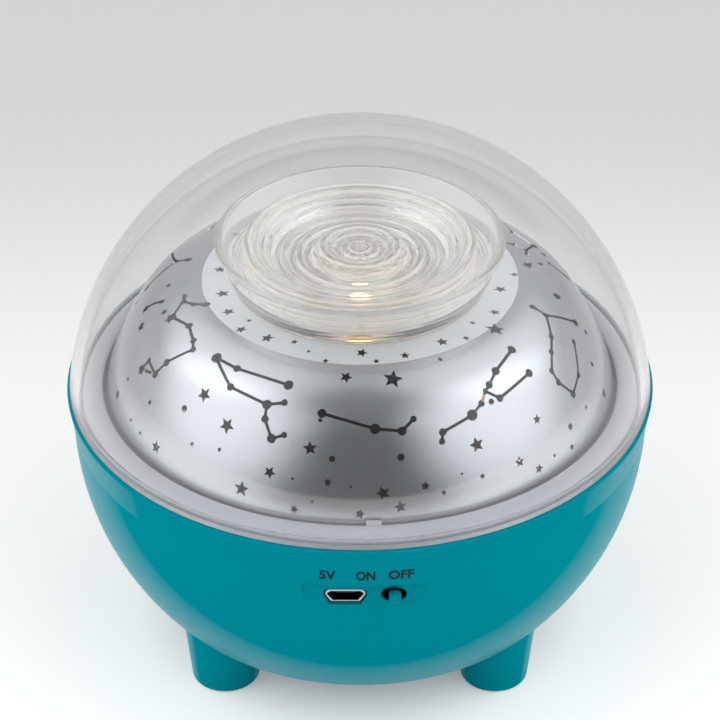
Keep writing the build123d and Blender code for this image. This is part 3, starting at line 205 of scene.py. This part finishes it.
ACRYLIC_IOR = 1.49
MILK = (0.96, 0.93, 0.90, 1)
# Colour of the haze's painted glow, which stands for the lit diode's light inside the lens and the cup.
MILK_GLOW = (1.0, 0.88, 0.74, 1)
MILK_ROUGHNESS = 0.5
PASSED_LIGHT = (0.93, 0.94, 0.95, 1)   # what the room's light keeps on its way through
RING_PITCH = 0.75 * MM     # fine rings turned in the lens
LENS_RING_HEIGHT = 0.05 * MM
MILK_LINE_PITCH = 2 * RING_PITCH
MILK_LINE_START = 0.35     # of the wave's height, where a milky line begins
MILK_BETWEEN = 0.4         # haze between the lines and on them, over the mean haze
MILK_ON_LINE = 2.6
FROST_HEIGHT = 1.0 * MM    # the clear cover's foot is matt up to this far above the bowl's rim
FROST_FADE = 0.8 * MM
FROST_ROUGHNESS = 0.4


def clear_plastic(name, colour, tint, tint_density, haze=0.0, ring_height=0.0, glow=0.0, frost_z=0.0):
    """Clear acrylic that takes on its tint where light runs far through it. If asked, it has a
    little warm white haze whose painted glow stands for the lit diode's light, fine turned rings round
    the upright axis, and a matt foot up to the height frost_z. The room's light passes it."""
    m = Nodes(name)
    m.set("Base Color", colour)
    m.set("Roughness", 0.0)
    m.set("IOR", ACRYLIC_IOR)
    m.set("Transmission Weight", 1.0)
    absorption = m.add("ShaderNodeVolumeAbsorption")
    absorption.inputs["Color"].default_value = tint
    absorption.inputs["Density"].default_value = tint_density
    m.link(absorption.outputs["Volume"], m.output.inputs["Volume"])
    if ring_height:
        m.bump(m.rings(RING_PITCH), ring_height)
    if frost_z:
        m.step(FROST_ROUGHNESS, 0.0, frost_z, frost_z + FROST_FADE, "Roughness")
    body = m.shader.outputs["BSDF"]
    if haze:
        milk = m.add("ShaderNodeBsdfPrincipled")
        milk.inputs["Base Color"].default_value = MILK
        milk.inputs["Roughness"].default_value = MILK_ROUGHNESS
        # Painted glow: the haze gives off light of its own, most on the milky lines, standing for the lit
        # diode's light.
        milk.inputs["Emission Color"].default_value = MILK_GLOW
        milk.inputs["Emission Strength"].default_value = glow
        blend = m.add("ShaderNodeMixShader")
        blend.inputs["Fac"].default_value = haze
        if ring_height:
            lines = m.map_range(
                m.rings(MILK_LINE_PITCH), from_min=MILK_LINE_START, to_min=haze * MILK_BETWEEN,
                to_max=haze * MILK_ON_LINE, smoothing="SMOOTHERSTEP",
            )
            m.link(lines, blend.inputs["Fac"])
        m.link(body, blend.inputs[1])
        m.link(milk.outputs["BSDF"], blend.inputs[2])
        body = blend.outputs["Shader"]
    passing = m.add("ShaderNodeBsdfTransparent")
    passing.inputs["Color"].default_value = PASSED_LIGHT
    path = m.add("ShaderNodeLightPath")
    mix = m.add("ShaderNodeMixShader")
    m.link(path.outputs["Is Shadow Ray"], mix.inputs["Fac"])
    m.link(body, mix.inputs[1])
    m.link(passing.outputs["BSDF"], mix.inputs[2])
    m.link(mix.outputs["Shader"], m.output.inputs["Surface"])
    return m.material


RESIN_IOR = 1.52
RESIN_CLEARNESS = 0.6
LED_GLOW = 30.0            # of the warm diode, which is lit
DARK_LED_GLOW = 0.15       # painted glow of the blue and green ones, which are unlit and only catch its light
LED_LIT_LENGTH = 2.2 * MM  # the part of the warm diode that glows, down from its tip


def resin(name, colour, glow, strength, dark_z=0.0, lit_z=0.0):
    """The tinted clear body of a light-emitting diode. If asked, it glows only towards its tip, from
    the height dark_z up to lit_z."""
    m = Nodes(name)
    m.set("Base Color", colour)
    m.set("Transmission Weight", RESIN_CLEARNESS)
    m.set("IOR", RESIN_IOR)
    m.ramp(m.noise(300.0), 0.08, 0.16, "Roughness")
    m.set("Emission Color", glow)
    m.set("Emission Strength", strength)
    if lit_z:
        m.step(0.0, strength, dark_z, lit_z, "Emission Strength")
    return m.material


COAT_GRAIN = 1500.0
COAT_GRAIN_HEIGHT = 0.0003 * MM


def satin_silver():
    """Satin plating on plastic: soft, slightly cloudy reflections."""
    m = Nodes("satin_silver")
    m.set("Metallic", 1.0)
    m.tint(m.noise(18.0, 1.0), srgb(206, 208, 210), srgb(201, 203, 206))
    m.ramp(m.noise(30.0, 2.0), 0.20, 0.23, "Roughness")
    m.bump(m.noise(COAT_GRAIN, 1.0), COAT_GRAIN_HEIGHT)
    return m.material


def land_painted_white():
    """The flat land round the lens: painted white, standing for the bright reflection of its plating, with a
    soft gloss.
    """
    m = Nodes("land_white_painted_reflection")
    m.tint(m.noise(30.0, 1.0), srgb(240, 242, 243), srgb(234, 236, 238))
    m.ramp(m.noise(60.0, 2.0), 0.24, 0.30, "Roughness")
    m.bump(m.noise(COAT_GRAIN, 1.0), COAT_GRAIN_HEIGHT)
    m.set("IOR", MOULDED_IOR)
    return m.material


SLOT_PAINTED_SHADE_MIDDLE = (6.5 * MM, -54.6 * MM, 44.1 * MM)   # middle of the painted shade inside the switch's slot
SLOT_DARK_R = 2.9 * MM
SLOT_LIT_R = 3.6 * MM
SLOT_SHADE = 0.10         # the colour left in the middle of that painted shade
EDGE_BLEND = 0.35
EDGE_START = 0.48         # the shell turns glossy from here on towards its outline
EDGE_GLOSS = 0.95


def teal_shell():
    """Satin teal plastic with a fine eroded texture from the mould, darkened inside the switch's slot
    by painted shade."""
    m = Nodes("teal_shell")
    m.tint(m.noise(38.0, 3.0), srgb(0, 156, 170), srgb(0, 151, 166))
    colour = m.shader.inputs["Base Color"].links[0].from_socket
    # Painted shade: the colour darkens towards the middle of the switch's slot.
    inwards = m.add("ShaderNodeVectorMath", operation="DISTANCE")
    inwards.inputs[1].default_value = SLOT_PAINTED_SHADE_MIDDLE
    m.link(m.coordinates, inwards.inputs[0])
    shade = m.map_range(
        inwards.outputs["Value"], from_min=SLOT_DARK_R, from_max=SLOT_LIT_R, to_min=SLOT_SHADE,
        smoothing="SMOOTHSTEP",
    )
    shaded = m.add("ShaderNodeVectorMath", operation="SCALE")
    m.link(colour, shaded.inputs[0])
    m.link(shade, shaded.inputs["Scale"])
    m.link(shaded.outputs["Vector"], m.shader.inputs["Base Color"])
    m.ramp(m.noise(420.0, 3.0), 0.40, 0.48, "Roughness")
    m.bump(m.noise(5200.0, 2.0), 0.006 * MM)
    m.set("IOR", MOULDED_IOR)
    edge = m.add("ShaderNodeLayerWeight")
    edge.inputs["Blend"].default_value = EDGE_BLEND
    gloss = m.map_range(edge.outputs["Facing"], from_min=EDGE_START, to_max=EDGE_GLOSS)
    m.link(gloss, m.shader.inputs["Specular IOR Level"])
    return m.material


RING_SCATTER = 0.25
RING_SCATTER_LENGTH = 2 * MM


def ring_plastic():
    """Pale lilac-grey ring, glossy and a little translucent."""
    m = Nodes("ring_plastic")
    m.tint(m.noise(60.0), srgb(217, 216, 220), srgb(208, 207, 213))
    m.ramp(m.noise(240.0), 0.12, 0.18, "Roughness")
    m.bump(m.noise(900.0, 1.0), 0.003 * MM)
    m.set("Subsurface Weight", RING_SCATTER)
    m.set("Subsurface Radius", (RING_SCATTER_LENGTH,) * 3)
    m.set("Subsurface Scale", 1.0)
    return m.material


def slot_materials():
    """One material for each of the record's slots."""
    white = plastic("white_plastic", srgb(222, 221, 216), srgb(214, 213, 208), 0.42)
    dark = plastic("dark_plastic", srgb(46, 46, 50), srgb(38, 38, 42), 0.5)
    led_tip_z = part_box("led_warm")[1].z
    warm = resin(
        "led_warm_lit", srgb(255, 226, 176), srgb(255, 214, 148), LED_GLOW,
        led_tip_z - LED_LIT_LENGTH, led_tip_z,
    )
    return {
        "teal_abs": teal_shell(),
        "clear_acrylic": clear_plastic(
            "clear_cover", (0.985, 0.99, 1.0, 1), (0.70, 0.79, 0.84, 1), 26.0,
            haze=0.009, frost_z=BOWL_TOP_Z + FROST_HEIGHT,
        ),
        "pale_ring": ring_plastic(),
        "white_abs": white,
        "dark_abs": dark,
        "silver_coat": satin_silver(),
        "pinion_pom": plastic("pinion_acetal", srgb(232, 230, 220), srgb(224, 222, 211), 0.33),
        "shaft_steel": metal("shaft_steel", srgb(190, 190, 194), srgb(176, 176, 181), 0.26, (1, 1, 8)),
        "gearbox_brass": metal("gearbox_brass", srgb(202, 170, 96), srgb(188, 154, 82), 0.3, (6, 1, 1)),
        "led_warm_resin": warm,
        # The blue and green diodes are unlit: their faint glow is painted light, standing for the warm
        # diode's light they catch.
        "led_blue_resin": resin("led_blue_clear", srgb(206, 224, 255), srgb(150, 190, 255), DARK_LED_GLOW),
        "led_green_resin": resin("led_green_clear", srgb(206, 255, 222), srgb(150, 255, 190), DARK_LED_GLOW),
        "board_white": plastic("led_board_mask", srgb(226, 226, 224), srgb(218, 218, 216), 0.35),
        "board_green": plastic("main_board_mask", srgb(18, 92, 46), srgb(14, 80, 40), 0.3),
        "chip_black": plastic("black_epoxy", srgb(28, 28, 30), srgb(22, 22, 24), 0.5),
        "socket_nylon": plastic("socket_nylon", srgb(226, 221, 204), srgb(216, 210, 192), 0.4),
        "port_steel": metal("port_steel", srgb(186, 186, 190), srgb(172, 172, 177), 0.2, (1, 6, 1)),
        "port_black": plastic("port_black", srgb(20, 20, 22), srgb(16, 16, 18), 0.45),
        "cell_sleeve": plastic("cell_sleeve", srgb(52, 108, 178), srgb(46, 98, 166), 0.28),
        "lead_pvc": plastic("lead_pvc", srgb(176, 30, 34), srgb(160, 26, 30), 0.48),
        "screw_steel": metal("screw_steel", srgb(178, 178, 184), srgb(162, 162, 168), 0.3),
    }


# ---------------------------------------------------------------- mesh helpers
SEGMENTS = 256            # round the upright axis
WELD = 0.0001 * MM        # points closer than this are one
CORNER = radians(28)      # edges that turn by more than this stay sharp


def link_mesh(name, mesh, material, body, smooth=True):
    """Put a mesh in the scene as a piece that rides on a body."""
    piece = bpy.data.objects.new(name, mesh)
    bpy.context.scene.collection.objects.link(piece)
    mesh.materials.clear()
    mesh.materials.append(material)
    if smooth:
        mesh.shade_smooth()
    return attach(piece, body)


def revolved(name, section, material, body):
    """A closed body of revolution from a loop of (radius, height) points in metres."""
    bm = bmesh.new()
    points = [bm.verts.new((r, 0, z)) for r, z in section]
    edges = [bm.edges.new((points[i - 1], points[i])) for i in range(len(points))]
    bmesh.ops.spin(
        bm, geom=points + edges, cent=(0, 0, 0), axis=(0, 0, 1), angle=2 * pi, steps=SEGMENTS,
        use_merge=True,
    )
    bmesh.ops.remove_doubles(bm, verts=bm.verts, dist=WELD)
    bmesh.ops.recalc_face_normals(bm, faces=bm.faces)
    mesh = bpy.data.meshes.new(name)
    bm.to_mesh(mesh)
    bm.free()
    mesh.shade_smooth()
    mesh.set_sharp_from_angle(angle=CORNER)
    return link_mesh(name, mesh, material, body, smooth=False)


def arc(centre, radius, start, end, count):
    """Points along an arc in a half section, from one angle to another, both ends included."""
    angles = [start + (end - start) * i / count for i in range(count + 1)]
    return [(centre[0] + radius * cos(a), centre[1] + radius * sin(a)) for a in angles]


def bulge(first, last, lift, count=8):
    """Points from first to last along a shallow sine swell to the left of the way, last left out."""
    run_r = last[0] - first[0]
    run_z = last[1] - first[1]
    length = sqrt(run_r**2 + run_z**2)
    points = []
    for i in range(count):
        t = i / count
        swell = lift * sin(pi * t)
        points.append((
            first[0] + run_r * t - swell * run_z / length,
            first[1] + run_z * t + swell * run_r / length,
        ))
    return points


SEAT_GAP = 0.04 * MM      # keeps two touching surfaces apart


# ---------------------------------------------------------------- clear cover
CLEAR_WALL = 2.0 * MM
TONGUE_WALL = 1.3 * MM
TONGUE_INSET = 2.3 * MM   # the tongue in the bowl's rim lies this far inside the dome
FOOT_GAP = 0.25 * MM      # between the dome's foot and the rim
FOOT_HEIGHT = 1.35 * MM
FOOT_SLOPE = 0.8 * MM
COVER_POINTS = 96


def add_clear_cover(material):
    """The clear dome, from its tongue in the bowl's rim up to its top."""
    low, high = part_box("clear_dome")
    tongue_r = high.x - TONGUE_INSET
    foot_z = BOWL_TOP_Z + FOOT_GAP
    ball_r = high.x
    ball_z = high.z - ball_r
    inner_r = ball_r - CLEAR_WALL
    inner_low_z = foot_z + FOOT_HEIGHT
    tongue_in = tongue_r - TONGUE_WALL
    outer_start = asin((foot_z - ball_z) / ball_r)
    inner_start = asin((inner_low_z - ball_z) / inner_r)
    section = [(tongue_in, low.z), (tongue_r, low.z), (tongue_r, foot_z)]
    section += arc((0, ball_z), ball_r, outer_start, pi / 2, COVER_POINTS)
    section += arc((0, ball_z), inner_r, pi / 2, inner_start, COVER_POINTS)
    section += [(tongue_in, inner_low_z - FOOT_SLOPE)]
    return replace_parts(revolved("clear_cover", section, material, "base"), "clear_dome")


# ---------------------------------------------------------------- star dome
STAR_R = 53.9 * MM
STAR_BALL_Z = 42.0 * MM
SHOULDER_START_R = 45.0 * MM   # the rounded shoulder leaves the ball here
SHOULDER_R = 17.5 * MM
SHOULDER_RATIO = 1 - SHOULDER_R / STAR_R
SHOULDER_CENTRE_R = SHOULDER_START_R * SHOULDER_RATIO
SHOULDER_CENTRE_Z = STAR_BALL_Z + sqrt(STAR_R**2 - SHOULDER_START_R**2) * SHOULDER_RATIO
SHOULDER_START_ANGLE = atan2(SHOULDER_CENTRE_Z - STAR_BALL_Z, SHOULDER_CENTRE_R)
LAND_R = 31.6 * MM
LAND_ANGLE = acos((LAND_R - SHOULDER_CENTRE_R) / SHOULDER_R)
LAND_TOLERANCE = 0.002 * MM
SAME_WAY = 0.9            # cosine above which two directions count as one
INSIDE_SLOT = 1
LAND_SLOT = 2


def dome_normal(point):
    """Outward normal of the star dome's smooth skin near a point."""
    r = sqrt(point.x**2 + point.y**2)
    if r <= LAND_R:
        return Vector((0, 0, 1))
    if atan2(point.z - STAR_BALL_Z, r) < SHOULDER_START_ANGLE:
        return Vector((point.x, point.y, point.z - STAR_BALL_Z)).normalized()
    angle = min(atan2(point.z - SHOULDER_CENTRE_Z, r - SHOULDER_CENTRE_R), LAND_ANGLE)
    return Vector((cos(angle) * point.x / r, cos(angle) * point.y / r, sin(angle)))


def add_star_dome(plating, inside, land):
    """The pierced dome with its own smooth normals, so that its plating reflects without facets.
    Its inside is given the dark plastic, which keeps the star holes dark, and the land round the lens
    is painted white, standing for the bright reflection of its plating."""
    mesh = frame["nodes"]["star_dome"].data.copy()
    mesh.name = "star_dome_skin"
    piece = link_mesh("star_dome_skin", mesh, plating, "dome_rotor")
    mesh.materials.append(inside)
    mesh.materials.append(land)
    normals = []
    for face in mesh.polygons:
        if dome_normal(face.center).dot(face.normal) < -SAME_WAY:
            face.material_index = INSIDE_SLOT
        elif all(mesh.vertices[index].co.z > LAND_Z - LAND_TOLERANCE for index in face.vertices):
            face.material_index = LAND_SLOT
        for index in face.vertices:
            smooth = dome_normal(mesh.vertices[index].co)
            turn = smooth.dot(face.normal)
            if turn > SAME_WAY:
                normals.append(smooth)
            elif turn < -SAME_WAY:
                normals.append(-smooth)
            else:
                normals.append(face.normal.copy())
    mesh.normals_split_custom_set(normals)
    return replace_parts(piece, "star_dome")


# ---------------------------------------------------------------- lens
CUP_FOOT_R = 24.8 * MM
CUP_WALL = 1.7 * MM
CUP_FLOOR_Z = 82.0 * MM
CUP_FLOOR_ROUNDING = 1.0 * MM
CUP_UNDERSIDE = 0.8 * MM    # above the land
CUP_RIBBED = 1.6 * MM       # the ribs run this far above the cup's floor
CUP_RIM_POINTS = 12
SPIGOT_R = 22.9 * MM        # goes into the star dome's hole
SPIGOT_WALL = 2 * MM
RIBS = 4
RIB_SWELL = -0.35 * MM


def add_lens_cup(material):
    """The clear cup: ribbed outside near its foot, flared, with a round rim and a flat floor."""
    low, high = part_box("lens_cup")
    round_r = CUP_WALL / 2
    flare = (high.x - CUP_FOOT_R) / (high.z - LAND_Z)
    rib = (CUP_FLOOR_Z + CUP_RIBBED - LAND_Z) / RIBS
    section = []
    r = CUP_FOOT_R
    z = LAND_Z + SEAT_GAP
    for _ in range(RIBS):
        section += bulge((r, z), (r + flare * rib, z + rib), RIB_SWELL)
        r += flare * rib
        z += rib
    section += [(r, z)]
    section += arc((high.x - round_r, high.z - round_r), round_r, 0, pi, CUP_RIM_POINTS)
    underside_z = LAND_Z + CUP_UNDERSIDE
    bore_r = SPIGOT_R - SPIGOT_WALL
    section += [
        (CUP_FOOT_R - CUP_WALL + CUP_FLOOR_ROUNDING, CUP_FLOOR_Z), (0, CUP_FLOOR_Z), (0, underside_z),
        (bore_r, underside_z), (bore_r, low.z),
        (SPIGOT_R - SEAT_GAP, low.z), (SPIGOT_R - SEAT_GAP, LAND_Z + SEAT_GAP),
    ]
    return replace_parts(revolved("lens_cup_clear", section, material, "dome_rotor"), "lens_cup")


# The lens's top from its edge to its middle, in millimetres: radius, height, and the swell of the
# stretch that starts there.
LENS_TOP = (
    (22.8, 88.0, 0.3), (21.2, 87.8, 0.0), (18.1, 86.0, 0.2), (17.0, 84.4, 0.35), (15.0, 84.8, -0.3),
    (13.2, 84.4, 0.35), (11.6, 85.0, -0.3), (10.0, 84.6, 0.35), (8.3, 86.7, 0.25), (6.7, 86.8, -0.15),
    (4.2, 85.8, 0.25), (2.2, 86.1, 0.2), (0.0, 87.1, 0.0),
)
LENS_SIDE_R = LENS_TOP[0][0] * MM
LENS_SIDE_TOP_Z = LENS_TOP[0][1] * MM


def add_ripple_lens(material):
    """The stepped lens: rings stacked up its side, and ripples running in to a domed hub."""
    low_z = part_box("ripple_lens")[0].z + SEAT_GAP
    step = (LENS_SIDE_TOP_Z - low_z) / RIBS
    section = [(0, low_z)]
    z = low_z
    for _ in range(RIBS):
        section += bulge((LENS_SIDE_R, z), (LENS_SIDE_R, z + step), RIB_SWELL)
        z += step
    for (r, z, swell), (next_r, next_z, _) in zip(LENS_TOP, LENS_TOP[1:]):
        section += bulge((r * MM, z * MM), (next_r * MM, next_z * MM), -swell * MM)
    section += [(0, LENS_TOP[-1][1] * MM)]
    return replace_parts(revolved("ripple_lens_clear", section, material, "dome_rotor"), "ripple_lens")


# ---------------------------------------------------------------- lettering
LETTER_HEIGHT = 2.3 * MM
CAPITAL_SHARE = 0.73       # of the font's size
LETTER_WEIGHT = 0.10 * MM  # added on each side of a stroke
LETTER_CURVE_STEPS = 4
LETTER_LOW_Z = 48.65 * MM
# Text, its middle in millimetres along X, and its width over the font's own.
LETTERING = (("5V", -6.3, 0.88), ("ON", 1.1, 0.75), ("OFF", 7.85, 0.89))
RIM_R = 60.0 * MM
BOWL_R = 58.9 * MM
BOWL_BALL_Z = 48.8 * MM
INK_PROUD = 0.03 * MM


def bowl_radius(z):
    """Outer radius of the bowl: a ball below its middle, flaring straight to the rim above."""
    if z < BOWL_BALL_Z:
        return sqrt(BOWL_R**2 - (BOWL_BALL_Z - z) ** 2)
    return BOWL_R + (RIM_R - BOWL_R) * (z - BOWL_BALL_Z) / (BOWL_TOP_Z - BOWL_BALL_Z)


def add_lettering(material):
    """Printed words above the socket and the switch, laid on the bowl's curve."""
    for text, middle, narrow in LETTERING:
        curve = bpy.data.curves.new("print_" + text, "FONT")
        curve.body = text
        curve.align_x = "CENTER"
        curve.size = LETTER_HEIGHT / CAPITAL_SHARE
        curve.offset = LETTER_WEIGHT
        curve.resolution_u = LETTER_CURVE_STEPS
        holder = bpy.data.objects.new("print_holder", curve)
        bpy.context.scene.collection.objects.link(holder)
        bpy.context.view_layer.update()
        mesh = bpy.data.meshes.new_from_object(holder)
        bpy.data.objects.remove(holder)
        bm = bmesh.new()
        bm.from_mesh(mesh)
        bmesh.ops.triangulate(bm, faces=bm.faces)
        bmesh.ops.subdivide_edges(bm, edges=bm.edges, cuts=1)
        for v in bm.verts:
            x = middle * MM + v.co.x * narrow
            z = LETTER_LOW_Z + v.co.y
            v.co = Vector((x, -sqrt(bowl_radius(z) ** 2 - x**2) - INK_PROUD, z))
        bm.to_mesh(mesh)
        bm.free()
        mesh.name = "print_" + text
        link_mesh("print_" + text, mesh, material, "base")


# ---------------------------------------------------------------- room
ROOM_HALF = 1.6
WALL_Y = 0.46
BEND_R = 0.25
WALL_TOP_Z = 0.30
BEND_STEPS = 24
PAPER_NEAR_Y = -0.05      # the paper is white up to here, and light grey from the next line back
PAPER_FAR_Y = 0.22
PAPER_ROUGHNESS = 0.9
LIFT_COLOUR = (1.0, 0.935, 0.915, 1)
# White added to the paper as the camera, metal and glass see it: under the object, in the open and
# far back. Less is added under the object, a painted shadow that deepens the object's own shadow.
UNDER_LIFT = 0.12
OPEN_LIFT = 0.40
FAR_LIFT = 0.24
UNDER_R = 0.020           # from the middle of the floor
OPEN_R = 0.052
FRONT_DIM = 0.11          # the room in front of the object is nearly dark
BACK_BRIGHT = 0.42


def add_room():
    """A pale sweep: a floor that bends up into a wall behind the object."""
    section = [(-ROOM_HALF, 0.0)]
    for i in range(BEND_STEPS + 1):
        turn = pi / 2 * i / BEND_STEPS
        section.append((WALL_Y - BEND_R + BEND_R * sin(turn), BEND_R - BEND_R * cos(turn)))
    section.append((WALL_Y, WALL_TOP_Z))
    points = [(side * ROOM_HALF, y, z) for y, z in section for side in (-1, 1)]
    faces = [(2 * i, 2 * i + 1, 2 * i + 3, 2 * i + 2) for i in range(len(section) - 1)]
    mesh = bpy.data.meshes.new("sweep")
    mesh.from_pydata(points, [], faces)
    mesh.shade_smooth()
    sweep = bpy.data.objects.new("sweep", mesh)
    bpy.context.scene.collection.objects.link(sweep)
    m = Nodes("sweep_paper")
    split = m.add("ShaderNodeSeparateXYZ")
    m.link(m.coordinates, split.inputs["Vector"])
    spread = m.map_range(
        split.outputs["Y"], from_min=PAPER_NEAR_Y, from_max=PAPER_FAR_Y, smoothing="SMOOTHSTEP",
    )
    m.tint(spread, srgb(247, 247, 246), srgb(190, 189, 188))
    m.set("Roughness", PAPER_ROUGHNESS)
    m.set("Specular IOR Level", 0.0)
    m.set("Emission Color", LIFT_COLOUR)
    # Painted shadow: the white added falls off towards the middle of the floor, under the object.
    away = m.add("ShaderNodeVectorMath", operation="LENGTH")
    m.link(m.coordinates, away.inputs[0])
    opening = m.map_range(
        away.outputs["Value"], from_min=UNDER_R, from_max=OPEN_R, to_min=UNDER_LIFT, to_max=OPEN_LIFT,
        smoothing="SMOOTHSTEP",
    )
    back = m.map_range(spread, to_min=OPEN_LIFT, to_max=FAR_LIFT)
    least = m.add("ShaderNodeMath", operation="MINIMUM")
    m.link(opening, least.inputs[0])
    m.link(back, least.inputs[1])
    path = m.add("ShaderNodeLightPath")
    seen = path.outputs["Is Camera Ray"]
    for ray in ("Is Glossy Ray", "Is Transmission Ray"):
        either = m.add("ShaderNodeMath", operation="MAXIMUM")
        m.link(seen, either.inputs[0])
        m.link(path.outputs[ray], either.inputs[1])
        seen = either.outputs["Value"]
    lift = m.add("ShaderNodeMath", operation="MULTIPLY")
    m.link(seen, lift.inputs[0])
    m.link(least.outputs["Value"], lift.inputs[1])
    m.link(lift.outputs["Value"], m.shader.inputs["Emission Strength"])
    mesh.materials.append(m.material)


ROOM_COLOUR = (0.97, 0.985, 1.0, 1)
# Soft lights: azimuth to the right of the front, elevation, core and edge in degrees, and brightness.
GLOWS = (
    (-72, 28, 8, 50, 1.26),
    (72, 28, 8, 50, 1.26),
    (-118, 52, 6, 38, 0.85),
    (118, 52, 6, 38, 0.85),
)


def sum_of(tree, first, second):
    """Add two values."""
    node = tree.nodes.new("ShaderNodeMath")
    tree.links.new(first, node.inputs[0])
    tree.links.new(second, node.inputs[1])
    return node.outputs["Value"]


def add_glow(tree, way, azimuth, elevation, core, edge, strength):
    """A round soft light in the world: full out to core, and gone at edge, in degrees from its middle."""
    a = radians(azimuth)
    e = radians(elevation)
    towards = tree.nodes.new("ShaderNodeVectorMath")
    towards.operation = "DOT_PRODUCT"
    towards.inputs[1].default_value = (sin(a) * cos(e), -cos(a) * cos(e), sin(e))
    tree.links.new(way, towards.inputs[0])
    spread = tree.nodes.new("ShaderNodeMapRange")
    spread.interpolation_type = "SMOOTHSTEP"
    spread.inputs["From Min"].default_value = cos(radians(edge))
    spread.inputs["From Max"].default_value = cos(radians(core))
    spread.inputs["To Max"].default_value = strength
    tree.links.new(towards.outputs["Value"], spread.inputs["Value"])
    return spread.outputs["Result"]


def add_world():
    """Soft light from all round, dim in front of the object and brighter behind it, with glows."""
    world = bpy.data.worlds.new("studio")
    bpy.context.scene.world = world
    world.use_nodes = True
    tree = world.node_tree
    background = tree.nodes["Background"]
    background.inputs["Color"].default_value = ROOM_COLOUR
    way = tree.nodes.new("ShaderNodeTexCoord").outputs["Generated"]
    split = tree.nodes.new("ShaderNodeSeparateXYZ")
    fade = tree.nodes.new("ShaderNodeMapRange")
    fade.inputs["From Min"].default_value = -1.0
    fade.inputs["From Max"].default_value = 1.0
    fade.inputs["To Min"].default_value = FRONT_DIM
    fade.inputs["To Max"].default_value = BACK_BRIGHT
    tree.links.new(way, split.inputs["Vector"])
    tree.links.new(split.outputs["Y"], fade.inputs["Value"])
    brightness = fade.outputs["Result"]
    for glow in GLOWS:
        brightness = sum_of(tree, brightness, add_glow(tree, way, *glow))
    tree.links.new(brightness, background.inputs["Strength"])


def main():
    """Camera, materials, the pieces modelled finer than the CAD, and the room."""
    bpy.context.scene.view_settings.view_transform = "Standard"
    add_camera()
    materials = slot_materials()
    for subpart in frame["record"]["subparts"]:
        mesh = frame["nodes"][subpart["node"]].data
        mesh.materials.clear()
        mesh.materials.append(materials[subpart["material_slot"]])
    add_clear_cover(materials["clear_acrylic"])
    # The land round the lens is painted white, standing for the bright reflection of its plating.
    add_star_dome(materials["silver_coat"], materials["dark_abs"], land_painted_white())
    # The lens and the cup glow faintly, most on the lens's milky lines: painted light standing for the lit
    # diode's light inside them.
    lens = clear_plastic(
        "clear_lens", (0.99, 0.985, 0.975, 1), (1.0, 0.92, 0.84, 1), 4.0,
        haze=0.10, ring_height=LENS_RING_HEIGHT, glow=0.26,
    )
    cup = clear_plastic(
        "clear_cup", (0.985, 0.985, 0.98, 1), (0.92, 0.95, 0.96, 1), 8.0, haze=0.10, glow=0.15,
    )
    add_lens_cup(cup)
    add_ripple_lens(lens)
    add_lettering(plastic("print_ink", srgb(0, 40, 62), srgb(0, 34, 56), 0.9))
    add_room()
    add_world()


main()
